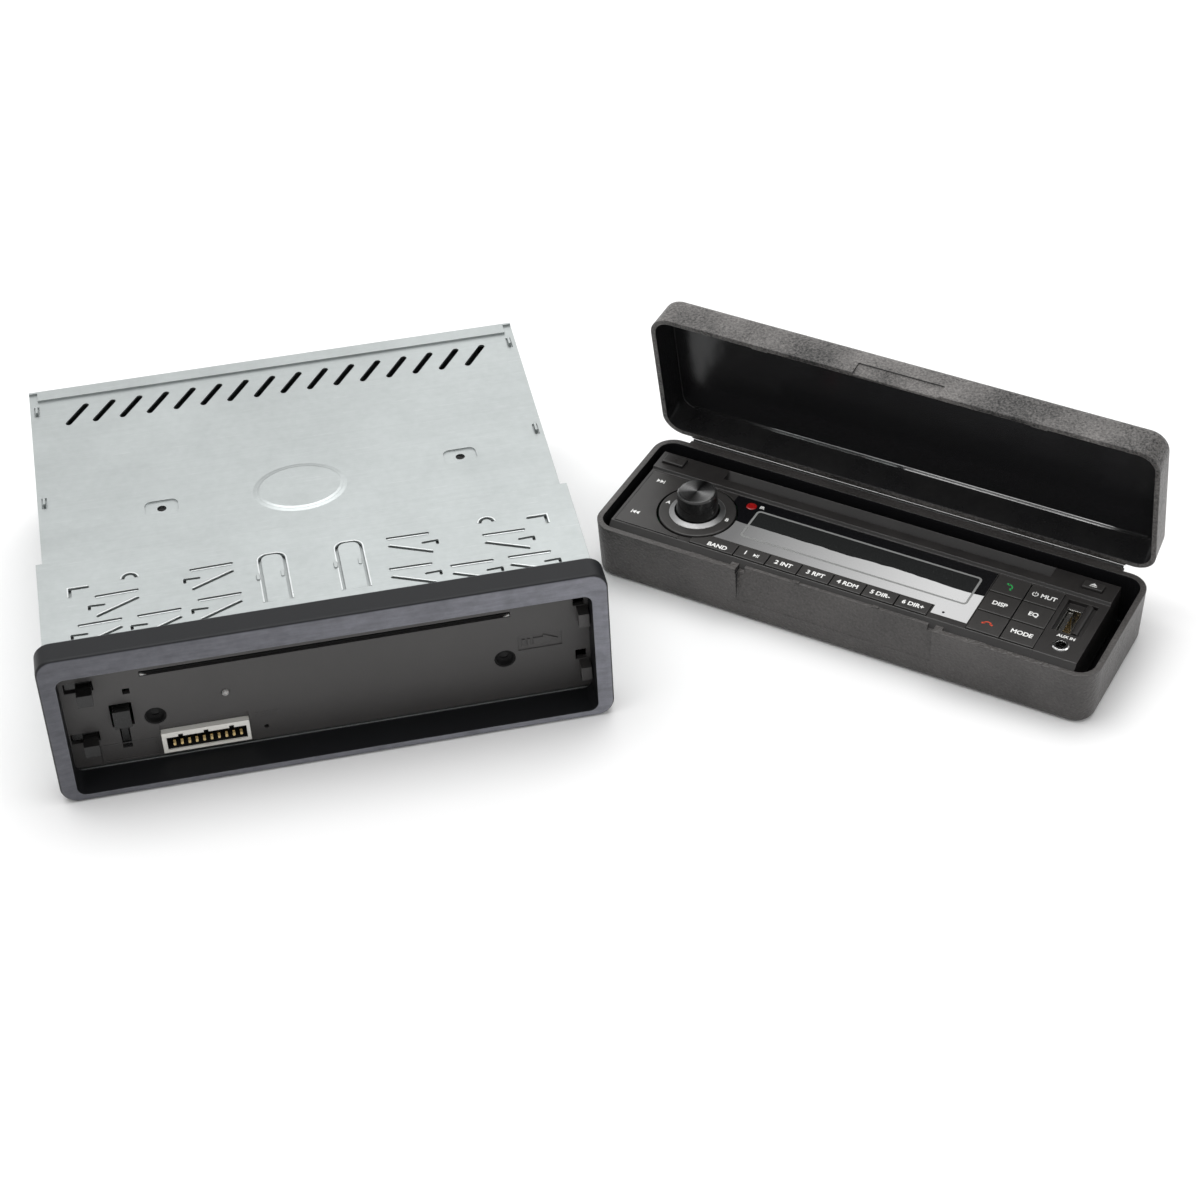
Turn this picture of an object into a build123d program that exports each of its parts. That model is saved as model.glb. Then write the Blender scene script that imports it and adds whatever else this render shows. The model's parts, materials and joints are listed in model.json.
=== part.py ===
from build123d import *
import os
from math import atan2, degrees, hypot

# Car radio with a detachable face, stored open on a table: the head unit in its mounting
# sleeve, and beside it the face lying in its open carrying case.
#
# Row frame: origin at the centre of the dashboard opening, on the plane of the dash.
# +X to the driver's right, +Y into the dash, +Z up.  Millimetres.

# ---------------------------------------------------------------- driving dimensions: head unit
CHASSIS_W = 178.0          # single-DIN chassis
CHASSIS_H = 50.0
CHASSIS_BACK = 147.4       # rear panel's outer face
SLEEVE_W = 182.0           # single-DIN aperture
SLEEVE_H = 53.0
SLEEVE_BACK = 47.2
SHEET = 0.8                # steel sheet of the chassis, cover and sleeve
TABLE_Z = -28.5            # surface that everything stands on
RING_W = 188.0             # trim ring, outside
RING_TOP = 31.5
RING_DEPTH = 12.4          # at its foot
RING_TOP_DEPTH = 9.3       # and at its top, as the front leans back
MOUTH_W = 176.8            # trim ring's opening, which takes the face
MOUTH_TOP = 22.5
MOUTH_BOTTOM = -26.0
MOUTH_TOP_Y = -8.8         # the mouth leans: its top edge is set further back
MOUTH_BOTTOM_Y = -12.0
FLOOR_Y = 0.6              # front surface of the nose behind the face
NOSE_T = 2.0
NOSE_W = 178.4
NOSE_H = 50.8

# ---------------------------------------------------------------- driving dimensions: case and face
CASE_L = 190.0
CASE_W = 58.0
CASE_H = 22.0
CASE_R = 8.0               # plan corner radius
CASE_WALL = 2.0
CASE_TAPER = 2.6           # draft of the base's walls, degrees
LID_H = 13.3
LID_WALL = 1.8
LID_OPEN = 80.0            # how far the lid stands open, degrees
HINGE_BACK = 1.85          # hinge line behind the rim
HINGE_UP = 0.4             # and above it
HINGE_L = 168.0
CASE_AT = (192.4, 24.4, TABLE_Z)
CASE_YAW = -39.8
FACE_W = 176.5
FACE_D = 47.8
FACE_R = 2.0               # plan corner radius
FACE_AT = (-2.0, -0.8, 0.0)  # face centre in the case
FACE_BACK_Z = 6.5          # lowest surface of the face
FIELD_Z = 20.5             # key field
SHELF_Z = 21.5             # raised shelf with the disc slot
SHELF_V = 11.9             # front edge of the shelf
CHIN_V = -20.4             # where the field turns down into the chin
PLATE_T = 2.0
BOARD_Z = 12.0             # underside of the face's circuit board
BOARD_T = 1.6
KEY_TOP = FIELD_Z + 0.4
KEY_FOOT = BOARD_Z + BOARD_T + 0.9
KEY_GAP = 0.2
KNOB_AT = (-62.1, -3.6)
KNOB_RING_R = 14.0
KNOB_RING_BORE = 10.2
KNOB_R = 7.8
KNOB_TOP_R = 7.1
KNOB_TOP = FIELD_Z + 9.6
SHAFT_R = 3.0
RUN_FIT = 0.05             # radial clearance of a shaft in its bore

CASE = Location(CASE_AT, (0, 0, CASE_YAW))
FACE = CASE * Location(FACE_AT)
HINGE_Y = CASE_W / 2 + HINGE_BACK
HINGE_Z = CASE_H + HINGE_UP
LID = CASE * Location((0, HINGE_Y, HINGE_Z)) * Location((0, 0, 0), (-LID_OPEN, 0, 0))

os.makedirs("parts", exist_ok=True)


# ---------------------------------------------------------------- helpers
def block(x, y, z, mode=Mode.ADD):
    """A box in the open part, given by its (low, high) limits along each axis."""
    middle = ((x[0] + x[1]) / 2, (y[0] + y[1]) / 2, (z[0] + z[1]) / 2)
    with Locations(middle):
        Box(x[1] - x[0], y[1] - y[0], z[1] - z[0], mode=mode)


def rod(at, radius, length, axis="Z", mode=Mode.ADD):
    """A cylinder in the open part that starts at a point and runs along +X, +Y or +Z."""
    turn = {"X": (0, 90, 0), "Y": (-90, 0, 0), "Z": (0, 0, 0)}[axis]
    with Locations(Location(at, turn)):
        Cylinder(radius, length, align=(Align.CENTER, Align.CENTER, Align.MIN), mode=mode)


def slit(start, end, width):
    """A straight slot with round ends in the open sketch."""
    run = (end[0] - start[0], end[1] - start[1])
    with Locations(((start[0] + end[0]) / 2, (start[1] + end[1]) / 2)):
        SlotOverall(hypot(*run) + width, width, rotation=degrees(atan2(run[1], run[0])))


def finish(builder, name, place=Location()):
    """Puts a finished piece where it belongs, labels it and writes its STEP file."""
    piece = builder.part.moved(place)
    piece.label = name
    export_step(piece, f"parts/{name}.step")


# ================================================================ HEAD UNIT
HALF_W = CHASSIS_W / 2
HALF_H = CHASSIS_H / 2
CHASSIS_FRONT = FLOOR_Y + NOSE_T

# ---------------------------------------------------------------- chassis tray: floor and two sides
TAB_X = HALF_W - 2.4
TABS_Y = (82.0, 136.0)
with BuildPart() as chassis_tray:
    block((-HALF_W, HALF_W), (CHASSIS_FRONT, CHASSIS_BACK - SHEET), (-HALF_H, -HALF_H + SHEET))
    for side in (-1, 1):
        wall = sorted((side * HALF_W, side * (HALF_W - SHEET)))
        block(wall, (CHASSIS_FRONT, CHASSIS_BACK - SHEET), (-HALF_H, HALF_H - SHEET))
        flange = sorted((side * HALF_W, side * (HALF_W - 4)))
        block(flange, (20, CHASSIS_BACK - SHEET), (HALF_H - 2 * SHEET, HALF_H - SHEET))
        for tab_y in TABS_Y:
            tab = (side * TAB_X - SHEET / 2, side * TAB_X + SHEET / 2)
            block(tab, (tab_y - 2, tab_y + 2), (HALF_H - 1.2, HALF_H + 1.3))
        # side fixing holes for the mounting screws of a dash bracket
        for hole_y in (66, 116):
            at = (side * HALF_W - 2, hole_y, 5)
            rod(at, 2.1, 4, "X", Mode.SUBTRACT)
finish(chassis_tray, "chassis_tray")

# ---------------------------------------------------------------- top cover with its row of vents
VENT_COUNT = 16
VENT_PITCH = 9.69
VENT_FIRST = (-75.7, 126.6)
VENT_RUN = (6.6, 9.5)
VENT_W = 2.3
DIMPLES = ((-47.0, 70.0), (58.0, 73.4))
with BuildPart() as top_cover:
    block((-HALF_W, HALF_W), (CHASSIS_FRONT, CHASSIS_BACK - SHEET), (HALF_H - SHEET, HALF_H))
    with BuildSketch(Plane.XY.offset(HALF_H)):
        for i in range(VENT_COUNT):
            foot = (VENT_FIRST[0] + i * VENT_PITCH, VENT_FIRST[1])
            slit(foot, (foot[0] + VENT_RUN[0], foot[1] + VENT_RUN[1]), VENT_W)
    extrude(amount=-SHEET, mode=Mode.SUBTRACT)
    for side in (-1, 1):
        for tab_y in TABS_Y:
            slot = (side * TAB_X - 0.9, side * TAB_X + 0.9)
            block(slot, (tab_y - 3, tab_y + 3), (HALF_H - 2, HALF_H + 1), Mode.SUBTRACT)
    # pressed-down screw seats
    with BuildSketch(Plane.XY.offset(HALF_H)):
        with Locations(*DIMPLES):
            RectangleRounded(11.5, 8, 2.4)
    extrude(amount=-SHEET, mode=Mode.SUBTRACT)
    with BuildSketch(Plane.XY.offset(HALF_H - 0.55)):
        with Locations(*DIMPLES):
            RectangleRounded(11.5, 8, 2.4)
        with Locations(*DIMPLES):
            Circle(1.6, mode=Mode.SUBTRACT)
    extrude(amount=-SHEET)
    # shallow oval swage in the middle
    with BuildSketch(Plane.XY.offset(HALF_H)):
        with Locations((1, 69.5)):
            Ellipse(16.4, 13.1)
    extrude(amount=0.25, taper=78)
    with BuildSketch(Plane.XY.offset(HALF_H + 0.2)):
        with Locations((1, 69.5)):
            Ellipse(15.2, 11.9)
    extrude(amount=0.3, taper=74)
finish(top_cover, "top_cover")

# ---------------------------------------------------------------- rear panel with its folded top lip
SOCKET_X = (8.0, 62.0)
SOCKET_Z = (-20.0, 2.0)
AERIAL_AT = (76.0, -4.0)
SINK_X = (-82.0, -22.0)
STUD_AT = (-6.0, 2.0)
REAR_SCREWS_X = (-77.0, 77.0)
REAR_SCREWS_Z = 18.0
with BuildPart() as rear_panel:
    block((-HALF_W, HALF_W), (CHASSIS_BACK - SHEET, CHASSIS_BACK), (-HALF_H, HALF_H + SHEET))
    block((-HALF_W + 3, HALF_W - 3), (CHASSIS_BACK - 5.5, CHASSIS_BACK), (HALF_H, HALF_H + SHEET))
    hole_y = (CHASSIS_BACK - 2, CHASSIS_BACK + 1)
    block(SOCKET_X, hole_y, SOCKET_Z, Mode.SUBTRACT)
    rod((AERIAL_AT[0], hole_y[0], AERIAL_AT[1]), 6.5, 3, "Y", Mode.SUBTRACT)
    rod((STUD_AT[0], hole_y[0], STUD_AT[1]), 2.6, 3, "Y", Mode.SUBTRACT)
    for screw_x in REAR_SCREWS_X:
        rod((screw_x, hole_y[0], REAR_SCREWS_Z), 1.5, 3, "Y", Mode.SUBTRACT)
finish(rear_panel, "rear_panel")

# ---------------------------------------------------------------- finned heat sink on the rear panel
SINK_FINS = 13
with BuildPart() as heat_sink:
    block(SINK_X, (CHASSIS_BACK, CHASSIS_BACK + 2.5), (-22, 9))
    fin_pitch = (SINK_X[1] - SINK_X[0] - 1.4) / (SINK_FINS - 1)
    for i in range(SINK_FINS):
        fin = SINK_X[0] + i * fin_pitch
        block((fin, fin + 1.4), (CHASSIS_BACK + 2, CHASSIS_BACK + 10), (-22, 9))
finish(heat_sink, "heat_sink")

# ---------------------------------------------------------------- multi-way socket block on the rear
with BuildPart() as power_socket:
    gap = 0.2
    outer_x = (SOCKET_X[0] + gap, SOCKET_X[1] - gap)
    outer_z = (SOCKET_Z[0] + gap, SOCKET_Z[1] - gap)
    block(outer_x, (132, CHASSIS_BACK + 8), outer_z)
    split_x = (SOCKET_X[0] + SOCKET_X[1]) / 2
    for bay in ((outer_x[0] + 1.5, split_x - 0.8), (split_x + 0.8, outer_x[1] - 1.5)):
        bay_z = (outer_z[0] + 1.5, outer_z[1] - 1.5)
        block(bay, (136, CHASSIS_BACK + 9), bay_z, Mode.SUBTRACT)
        for row in (-14.5, -3.5):
            for i in range(4):
                pin_x = bay[0] + 3.6 + i * 5.4
                block((pin_x - 1, pin_x + 1), (135, 150), (row - 0.4, row + 0.4))
finish(power_socket, "power_socket")

# ---------------------------------------------------------------- aerial socket
AERIAL_BORE_R = 4.6
with BuildPart() as antenna_socket:
    rod((AERIAL_AT[0], 128, AERIAL_AT[1]), 6.3, CHASSIS_BACK + 7 - 128, "Y")
    rod((AERIAL_AT[0], 131, AERIAL_AT[1]), AERIAL_BORE_R, 40, "Y", Mode.SUBTRACT)
finish(antenna_socket, "antenna_socket")

# ---------------------------------------------------------------- M5 stud for the rear support strap
STUD_R = 2.5
with BuildPart() as rear_stud:
    rod((STUD_AT[0], CHASSIS_BACK - 4, STUD_AT[1]), STUD_R, 16, "Y")
    with BuildSketch(Plane.XZ.offset(-CHASSIS_BACK)):
        with Locations(STUD_AT):
            RegularPolygon(4.6, 6)
    extrude(amount=-3)
finish(rear_stud, "rear_stud")

# ---------------------------------------------------------------- mounting sleeve with its bend-out tabs
SLIT_W = 1.0
TOOTH = ((0, 0), (13.7, 0.3), (13.6, -4.1), (0, -10.3))
TOOTH_NICK = ((-2.5, -4.6), (2.3, -4.8), (-2.5, -6.2))
TEETH_AT = ((-72.1, 26.0), (-40.1, 32.0), (-38.8, 15.9), (-59.0, 12.7), (-78.5, 12.5))
U_TAB_X = 13.0
U_TAB_HALF = 4.1
U_TAB_Y = (9.4, 33.4)
U_TAB_R = 2.6
MOON_AT = (60.5, 32.6)     # half-round slits
MOON_R = 2.2
PIP_BESIDE = 1.3           # pips beside the legs
PIP_Y = 22.5
HALF_SW = SLEEVE_W / 2
HALF_SH = SLEEVE_H / 2
with BuildPart() as mounting_sleeve:
    with BuildSketch(Plane.XZ):
        Rectangle(SLEEVE_W, SLEEVE_H)
        Rectangle(SLEEVE_W - 2 * SHEET, SLEEVE_H - 2 * SHEET, mode=Mode.SUBTRACT)
    extrude(amount=-SLEEVE_BACK)
    # front lip that bears on the dash
    with BuildSketch(Plane.XZ):
        Rectangle(SLEEVE_W + 3, SLEEVE_H + 3)
        Rectangle(SLEEVE_W - 2 * SHEET, SLEEVE_H - 2 * SHEET, mode=Mode.SUBTRACT)
    extrude(amount=-SHEET)
    # lanced teeth and U-shaped tabs, alike in the top and bottom walls
    with BuildSketch(Plane.XY.offset(-HALF_SH - 1)):
        for side in (-1, 1):
            for at in TEETH_AT:
                corners = [(-side * (at[0] + p[0]), at[1] + p[1]) for p in TOOTH]
                slit(corners[0], corners[1], SLIT_W)
                slit(corners[2], corners[3], SLIT_W)
                nick = [(-side * (at[0] + p[0]), at[1] + p[1]) for p in TOOTH_NICK]
                slit(nick[0], nick[1], SLIT_W)
                slit(nick[0], nick[2], SLIT_W)
            u_x = side * U_TAB_X
            with BuildLine():
                FilletPolyline(
                    (u_x - U_TAB_HALF, U_TAB_Y[0]), (u_x - U_TAB_HALF, U_TAB_Y[1]),
                    (u_x + U_TAB_HALF, U_TAB_Y[1]), (u_x + U_TAB_HALF, U_TAB_Y[0]), radius=U_TAB_R,
                )
            trace(line_width=SLIT_W)
            moon_x = side * MOON_AT[0]
            moon_top = (moon_x, MOON_AT[1] + MOON_R)
            with BuildLine():
                ThreePointArc((moon_x - MOON_R, MOON_AT[1]), moon_top, (moon_x + MOON_R, MOON_AT[1]))
            trace(line_width=SLIT_W)
            slit((side * 74.5, 31.5), (side * 80.5, 31.5), SLIT_W)
            slit((side * 80.5, 31.5), (side * 80.5, 27.5), SLIT_W)
    extrude(amount=SLEEVE_H + 2, mode=Mode.SUBTRACT)
    # U-tabs in the side walls, and the windows for the removal keys
    with BuildSketch(Plane.YZ.offset(-HALF_SW - 1)):
        for tab_z in (-12, 12):
            slit((14, tab_z - 3), (34, tab_z - 3), SLIT_W)
            slit((34, tab_z - 3), (34, tab_z + 3), SLIT_W)
            slit((34, tab_z + 3), (14, tab_z + 3), SLIT_W)
        with Locations((8, 0)):
            Rectangle(5, 9)
    extrude(amount=SLEEVE_W + 2, mode=Mode.SUBTRACT)
    # pressed pips beside the legs of the U-tabs
    for side in (-1, 1):
        for leg in (-U_TAB_HALF, U_TAB_HALF):
            pip_x = side * U_TAB_X + leg - PIP_BESIDE
            with BuildSketch(Plane.XY.offset(HALF_SH)):
                with Locations((pip_x, PIP_Y)):
                    SlotOverall(3.6, 1.5, rotation=90)
            extrude(amount=0.6, taper=20)
finish(mounting_sleeve, "mounting_sleeve")

# ---------------------------------------------------------------- trim ring
RING_H = RING_TOP - TABLE_Z
RING_MID = (RING_TOP + TABLE_Z) / 2
MOUTH_H = MOUTH_TOP - MOUTH_BOTTOM
MOUTH_MID = (MOUTH_TOP + MOUTH_BOTTOM) / 2
MOUTH_MID_Y = (MOUTH_TOP_Y + MOUTH_BOTTOM_Y) / 2
MOUTH_LEAN = degrees(atan2(MOUTH_TOP_Y - MOUTH_BOTTOM_Y, MOUTH_H))
RING_SLOPE = (RING_DEPTH - RING_TOP_DEPTH) / RING_H
RING_LEAN = degrees(atan2(RING_SLOPE, 1))
CREST_RISE = 0.3           # the crest outline sits a little high on the front
with BuildPart() as trim_ring:
    with BuildSketch(Plane.XZ):
        with Locations((0, RING_MID)):
            RectangleRounded(RING_W, RING_H, 6)
    extrude(amount=RING_DEPTH)
    # the front leans back towards its top
    with BuildSketch(Plane.YZ.offset(-RING_W)):
        with BuildLine():
            Polyline(
                (-2 * RING_DEPTH, TABLE_Z - 1), (-RING_DEPTH - RING_SLOPE, TABLE_Z - 1),
                (-RING_TOP_DEPTH + RING_SLOPE, RING_TOP + 1), (-2 * RING_DEPTH, RING_TOP + 1), close=True,
            )
        make_face()
    extrude(amount=2 * RING_W, mode=Mode.SUBTRACT)
    fillet(trim_ring.faces().sort_by(Axis.Y)[0].edges(), 1.2)
    # straight opening, then the leaning bevel that leads into it
    with BuildSketch(Plane.XZ):
        with Locations((0, MOUTH_MID)):
            RectangleRounded(MOUTH_W, MOUTH_H, 3)
    extrude(amount=RING_DEPTH + 1, mode=Mode.SUBTRACT)
    crest_y = -(RING_DEPTH + RING_TOP_DEPTH) / 2 + CREST_RISE * RING_SLOPE
    crest_plane = Plane(
        origin=(0, crest_y - 0.02, RING_MID + CREST_RISE), x_dir=(1, 0, 0), z_dir=(0, -1, 0)
    ).rotated((-RING_LEAN, 0, 0))
    with BuildSketch(crest_plane):
        RectangleRounded(RING_W - 3.2, RING_H - 2.6, 5)
    mouth_plane = Plane(
        origin=(0, MOUTH_MID_Y, MOUTH_MID), x_dir=(1, 0, 0), z_dir=(0, -1, 0)
    ).rotated((-MOUTH_LEAN, 0, 0))
    with BuildSketch(mouth_plane):
        RectangleRounded(MOUTH_W, MOUTH_H, 3)
    loft(mode=Mode.SUBTRACT)
    # hollow back that clears the sleeve's lip
    with BuildSketch(Plane.XZ):
        with Locations((0, RING_MID)):
            RectangleRounded(RING_W - 3.2, RING_H - 3.2, 4.6)
        with Locations((0, MOUTH_MID)):
            RectangleRounded(MOUTH_W + 3.2, MOUTH_H + 3.2, 4, mode=Mode.SUBTRACT)
    extrude(amount=5.5, mode=Mode.SUBTRACT)
finish(trim_ring, "trim_ring")

# ---------------------------------------------------------------- nose: the floor of the recess
SLOT_Z = 12.0
SLOT_HALF = 62.0
SCREW_AT = ((-59.2, -7.5), (59.2, -7.5))
LED_AT = (-35.2, -2.0)
RESET_AT = (-23.4, -20.3)
LINK_X = (-58.7, -28.8)
LINK_Z = (-24.0, -14.8)
LEVER_X = -70.0
LEVER_PIVOT = (3.7, -18.4)  # y and z of the lever's pin
LEVER_PIN_R = 0.9
HOOKS_AT = ((-82.0, 9.0), (-83.0, -13.5))
SEATS_AT = ((85.6, 11.5), (85.6, -12.5))
with BuildPart() as front_nose:
    with BuildSketch(Plane.XZ.offset(-FLOOR_Y)):
        Rectangle(NOSE_W, NOSE_H)
    extrude(amount=-NOSE_T)
    with BuildSketch(Plane.XZ):
        Rectangle(NOSE_W, NOSE_H)
        with Locations((0, MOUTH_MID + 1)):
            Rectangle(MOUTH_W + 0.2, MOUTH_H + 0.8, mode=Mode.SUBTRACT)
    extrude(amount=-FLOOR_Y)
    through = (FLOOR_Y - 1, FLOOR_Y + NOSE_T + 1)
    block((-SLOT_HALF, SLOT_HALF), through, (SLOT_Z - 1.1, SLOT_Z + 1.1), Mode.SUBTRACT)
    for at in SCREW_AT:
        rod((at[0], FLOOR_Y, at[1]), 5.2, 5, "Y")
        rod((at[0], FLOOR_Y - 1, at[1]), 3.7, 5, "Y", Mode.SUBTRACT)
        rod((at[0], FLOOR_Y - 1, at[1]), 1.6, 8, "Y", Mode.SUBTRACT)
    rod((LED_AT[0], FLOOR_Y - 1, LED_AT[1]), 1.35, 5, "Y", Mode.SUBTRACT)
    rod((RESET_AT[0], FLOOR_Y - 1, RESET_AT[1]), 0.9, 5, "Y", Mode.SUBTRACT)
    # window of the face connector, with its shallow dark surround
    block(LINK_X, through, LINK_Z, Mode.SUBTRACT)
    surround = (LINK_X[0], LINK_X[1])
    block(surround, (FLOOR_Y - 1, FLOOR_Y + 0.8), (LINK_Z[1], LINK_Z[1] + 2.8), Mode.SUBTRACT)
    # raised frame left of the connector
    frame_line = (FLOOR_Y - 0.25, FLOOR_Y)
    block((-79, -60), frame_line, (-17.3, -16.9))
    block((-79, -78.6), frame_line, (-24.6, -17.3))
    # window and groove of the push-off lever
    block((LEVER_X - 3.7, LEVER_X + 3.7), through, (-9.6, 0.4), Mode.SUBTRACT)
    block((LEVER_X - 1.6, LEVER_X + 1.6), through, (-19.6, -9.6), Mode.SUBTRACT)
    for ear_x in ((LEVER_X - 3.6, LEVER_X - 1.7), (LEVER_X + 1.7, LEVER_X + 3.6)):
        block(ear_x, (FLOOR_Y + 1, 5.4), (-20.2, -16.6))
        pin_hole = (ear_x[0] - 1, LEVER_PIVOT[0], LEVER_PIVOT[1])
        rod(pin_hole, LEVER_PIN_R + RUN_FIT, 4, "X", Mode.SUBTRACT)
    block((-68.4, -66.0), through, (4.2, 6.6), Mode.SUBTRACT)
    # windows beside the two catch hooks
    for at in HOOKS_AT:
        block((at[0] - 5, at[0] + 4.6), through, (at[1] - 0.8, at[1] + 3.4), Mode.SUBTRACT)
    # fixed seats at the right end, each under its own small window
    for at in SEATS_AT:
        block((at[0] - 2.2, at[0] + 1.6), through, (at[1] - 0.4, at[1] + 3.8), Mode.SUBTRACT)
        block((at[0] - 1.2, at[0] + 2.4), (-4.4, FLOOR_Y + 1), (at[1] - 6.2, at[1] - 0.6))
    # sunk panel with a raised arrow that points to the fixed end
    panel_y = (FLOOR_Y - 1, FLOOR_Y + 0.35)
    block((64.0, 79.0), panel_y, (-4.9, 1.3), Mode.SUBTRACT)
    arrow_line = (FLOOR_Y, FLOOR_Y + 0.5)
    for bar_x in (65.4, 67.2):
        block((bar_x, bar_x + 1), arrow_line, (-3.3, -0.3))
    with BuildSketch(Plane.XZ.offset(-FLOOR_Y)):
        with BuildLine():
            Polyline(
                (69.2, -3.3), (72.6, -3.3), (72.6, -4.3), (77.8, -1.8),
                (72.6, 0.7), (72.6, -0.3), (69.2, -0.3), close=True,
            )
        make_face()
    extrude(amount=-0.5)
finish(front_nose, "front_nose")

# ---------------------------------------------------------------- catch hooks of the left end
with BuildPart() as panel_hooks:
    for at in HOOKS_AT:
        block((at[0] - 4.6, at[0] + 4.2), (1.6, 5.0), (at[1], at[1] + 3.0))
        block((at[0] - 1.0, at[0] + 4.2), (-5.2, 1.7), (at[1], at[1] + 2.2))
        block((at[0] - 1.0, at[0] + 4.2), (-5.2, -3.6), (at[1] - 2.6, at[1] + 2.2))
finish(panel_hooks, "panel_hooks")

# ---------------------------------------------------------------- push-off lever with its pivot pin
with BuildPart() as eject_lever:
    block((LEVER_X - 1.2, LEVER_X + 1.2), (0.9, 2.3), (-19.2, -5.0))
    block((LEVER_X - 1.2, LEVER_X + 1.2), (0.9, LEVER_PIVOT[0]), (-19.2, -17.6))
    block((LEVER_X - 2.9, LEVER_X + 2.9), (-2.2, 2.3), (-8.2, -0.8))
    rod((LEVER_X - 3.4, LEVER_PIVOT[0], LEVER_PIVOT[1]), LEVER_PIN_R, 6.8, "X")
finish(eject_lever, "eject_lever")

# ---------------------------------------------------------------- face connector
PIN_COUNT = 10
PIN_PITCH = 2.5
LINK_FIT = 0.15
body_x = (LINK_X[0] + LINK_FIT, LINK_X[1] - LINK_FIT)
body_z = (LINK_Z[0] + LINK_FIT, LINK_Z[1] - LINK_FIT)
first_pin = (body_x[0] + body_x[1] + 0.8) / 2 - PIN_PITCH * (PIN_COUNT - 1) / 2
pin_middles = [first_pin + i * PIN_PITCH for i in range(PIN_COUNT)]
PINS = [(middle - 0.45, middle + 0.45) for middle in pin_middles]
PIN_Z = (-21.2, -20.2)
SHELL_FRONT = -0.7
with BuildPart() as connector_shell:
    block(body_x, (SHELL_FRONT, 8.0), body_z)
    cavity_x = (body_x[0] + 1.5, body_x[1] - 1.2)
    cavity_z = (body_z[0] + 1.1, body_z[1] - 2.2)
    block(cavity_x, (SHELL_FRONT - 1, 6.0), cavity_z, Mode.SUBTRACT)
    for i in range(3):
        notch = body_x[0] + 5.5 + i * 8.6
        notch_z = (body_z[1] - 2.4, body_z[1] - 1.2)
        block((notch, notch + 1.6), (SHELL_FRONT - 1, 3.6), notch_z, Mode.SUBTRACT)
    for pin in PINS:
        block(pin, (5.5, 9), PIN_Z, Mode.SUBTRACT)
finish(connector_shell, "connector_shell")

with BuildPart() as connector_pins:
    for pin in PINS:
        block(pin, (1.2, 10.5), PIN_Z)
finish(connector_pins, "connector_pins")

# ---------------------------------------------------------------- security lamp and reset button
with BuildPart() as security_led:
    rod((LED_AT[0], FLOOR_Y, LED_AT[1]), 1.25, 6, "Y")
    with Locations((LED_AT[0], FLOOR_Y, LED_AT[1])):
        Sphere(1.25)
finish(security_led, "security_led")

with BuildPart() as reset_button:
    rod((RESET_AT[0], FLOOR_Y + 0.8, RESET_AT[1]), 0.7, 2.6, "Y")
    rod((RESET_AT[0], FLOOR_Y + NOSE_T + 0.6, RESET_AT[1]), 1.6, 1.2, "Y")
finish(reset_button, "reset_button")

# ---------------------------------------------------------------- disc drive
DECK_Z = 3.5
DECK_T = 1.2
SPINDLE_AT = (0.0, 70.0)
SLED_PATH_Y = (60.0, 80.0)
SLED_START = 22.0
SCREW_Y = 52.0
DISC_Z = SLOT_Z - 0.6
with BuildPart() as deck_frame:
    block((-72, 72), (9, 128), (DECK_Z, DECK_Z + DECK_T))
    block((16, 66), (47, 86), (DECK_Z - 1, DECK_Z + DECK_T + 1), Mode.SUBTRACT)
    rod((SPINDLE_AT[0], SPINDLE_AT[1], DECK_Z - 1), 2.2, DECK_T + 2, "Z", Mode.SUBTRACT)
    block((-66, 66), (17.0, 27.0), (DECK_Z - 1, DECK_Z + DECK_T + 1), Mode.SUBTRACT)
    for side in (-1, 1):
        block(sorted((side * 72, side * 70.8)), (9, 128), (-16, DECK_Z + DECK_T))
        block(sorted((side * 72, side * (HALF_W - SHEET))), (30, 40), (-16, -14.8))
        block(sorted((side * 72, side * (HALF_W - SHEET))), (112, 122), (-16, -14.8))
        # ears that carry the feed roller
        block(sorted((side * 66, side * 68)), (15, 29), (DECK_Z + DECK_T - 0.2, SLOT_Z - 1.4))
        rod((side * 68 - 3, 22, 7.6), 1.55, 6, "X", Mode.SUBTRACT)
    # ears that carry the rods and the screw
    for ear in ((14, 16), (66, 68)):
        block(ear, (46, 86), (-4.4, DECK_Z + 0.2))
        rod((ear[0] - 1, SCREW_Y, 0), 1.5 + RUN_FIT, 4, "X", Mode.SUBTRACT)
        for path_y in SLED_PATH_Y:
            rod((ear[0] - 1, path_y, 0), 1.5, 4, "X", Mode.SUBTRACT)
finish(deck_frame, "deck_frame")

with BuildPart() as spindle_motor:
    rod((SPINDLE_AT[0], SPINDLE_AT[1], DECK_Z - 7.5), 12, 7.5)
    rod((SPINDLE_AT[0], SPINDLE_AT[1], DECK_Z - 7.0), 1.0 + RUN_FIT, 9, "Z", Mode.SUBTRACT)
finish(spindle_motor, "spindle_motor")

with BuildPart() as turntable:
    rod((SPINDLE_AT[0], SPINDLE_AT[1], DECK_Z - 6.0), 1.0, 12)
    rod((SPINDLE_AT[0], SPINDLE_AT[1], DECK_Z + DECK_T + 0.6), 15, DISC_Z - DECK_Z - DECK_T - 0.6)
    rod((SPINDLE_AT[0], SPINDLE_AT[1], DISC_Z), 7.4, 2.2)
    chamfer(turntable.edges().sort_by(Axis.Z)[-1], 1.2)
finish(turntable, "turntable")

with BuildPart() as guide_rods:
    for path_y in SLED_PATH_Y:
        rod((14, path_y, 0), 1.5, 54, "X")
finish(guide_rods, "guide_rods")

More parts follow.
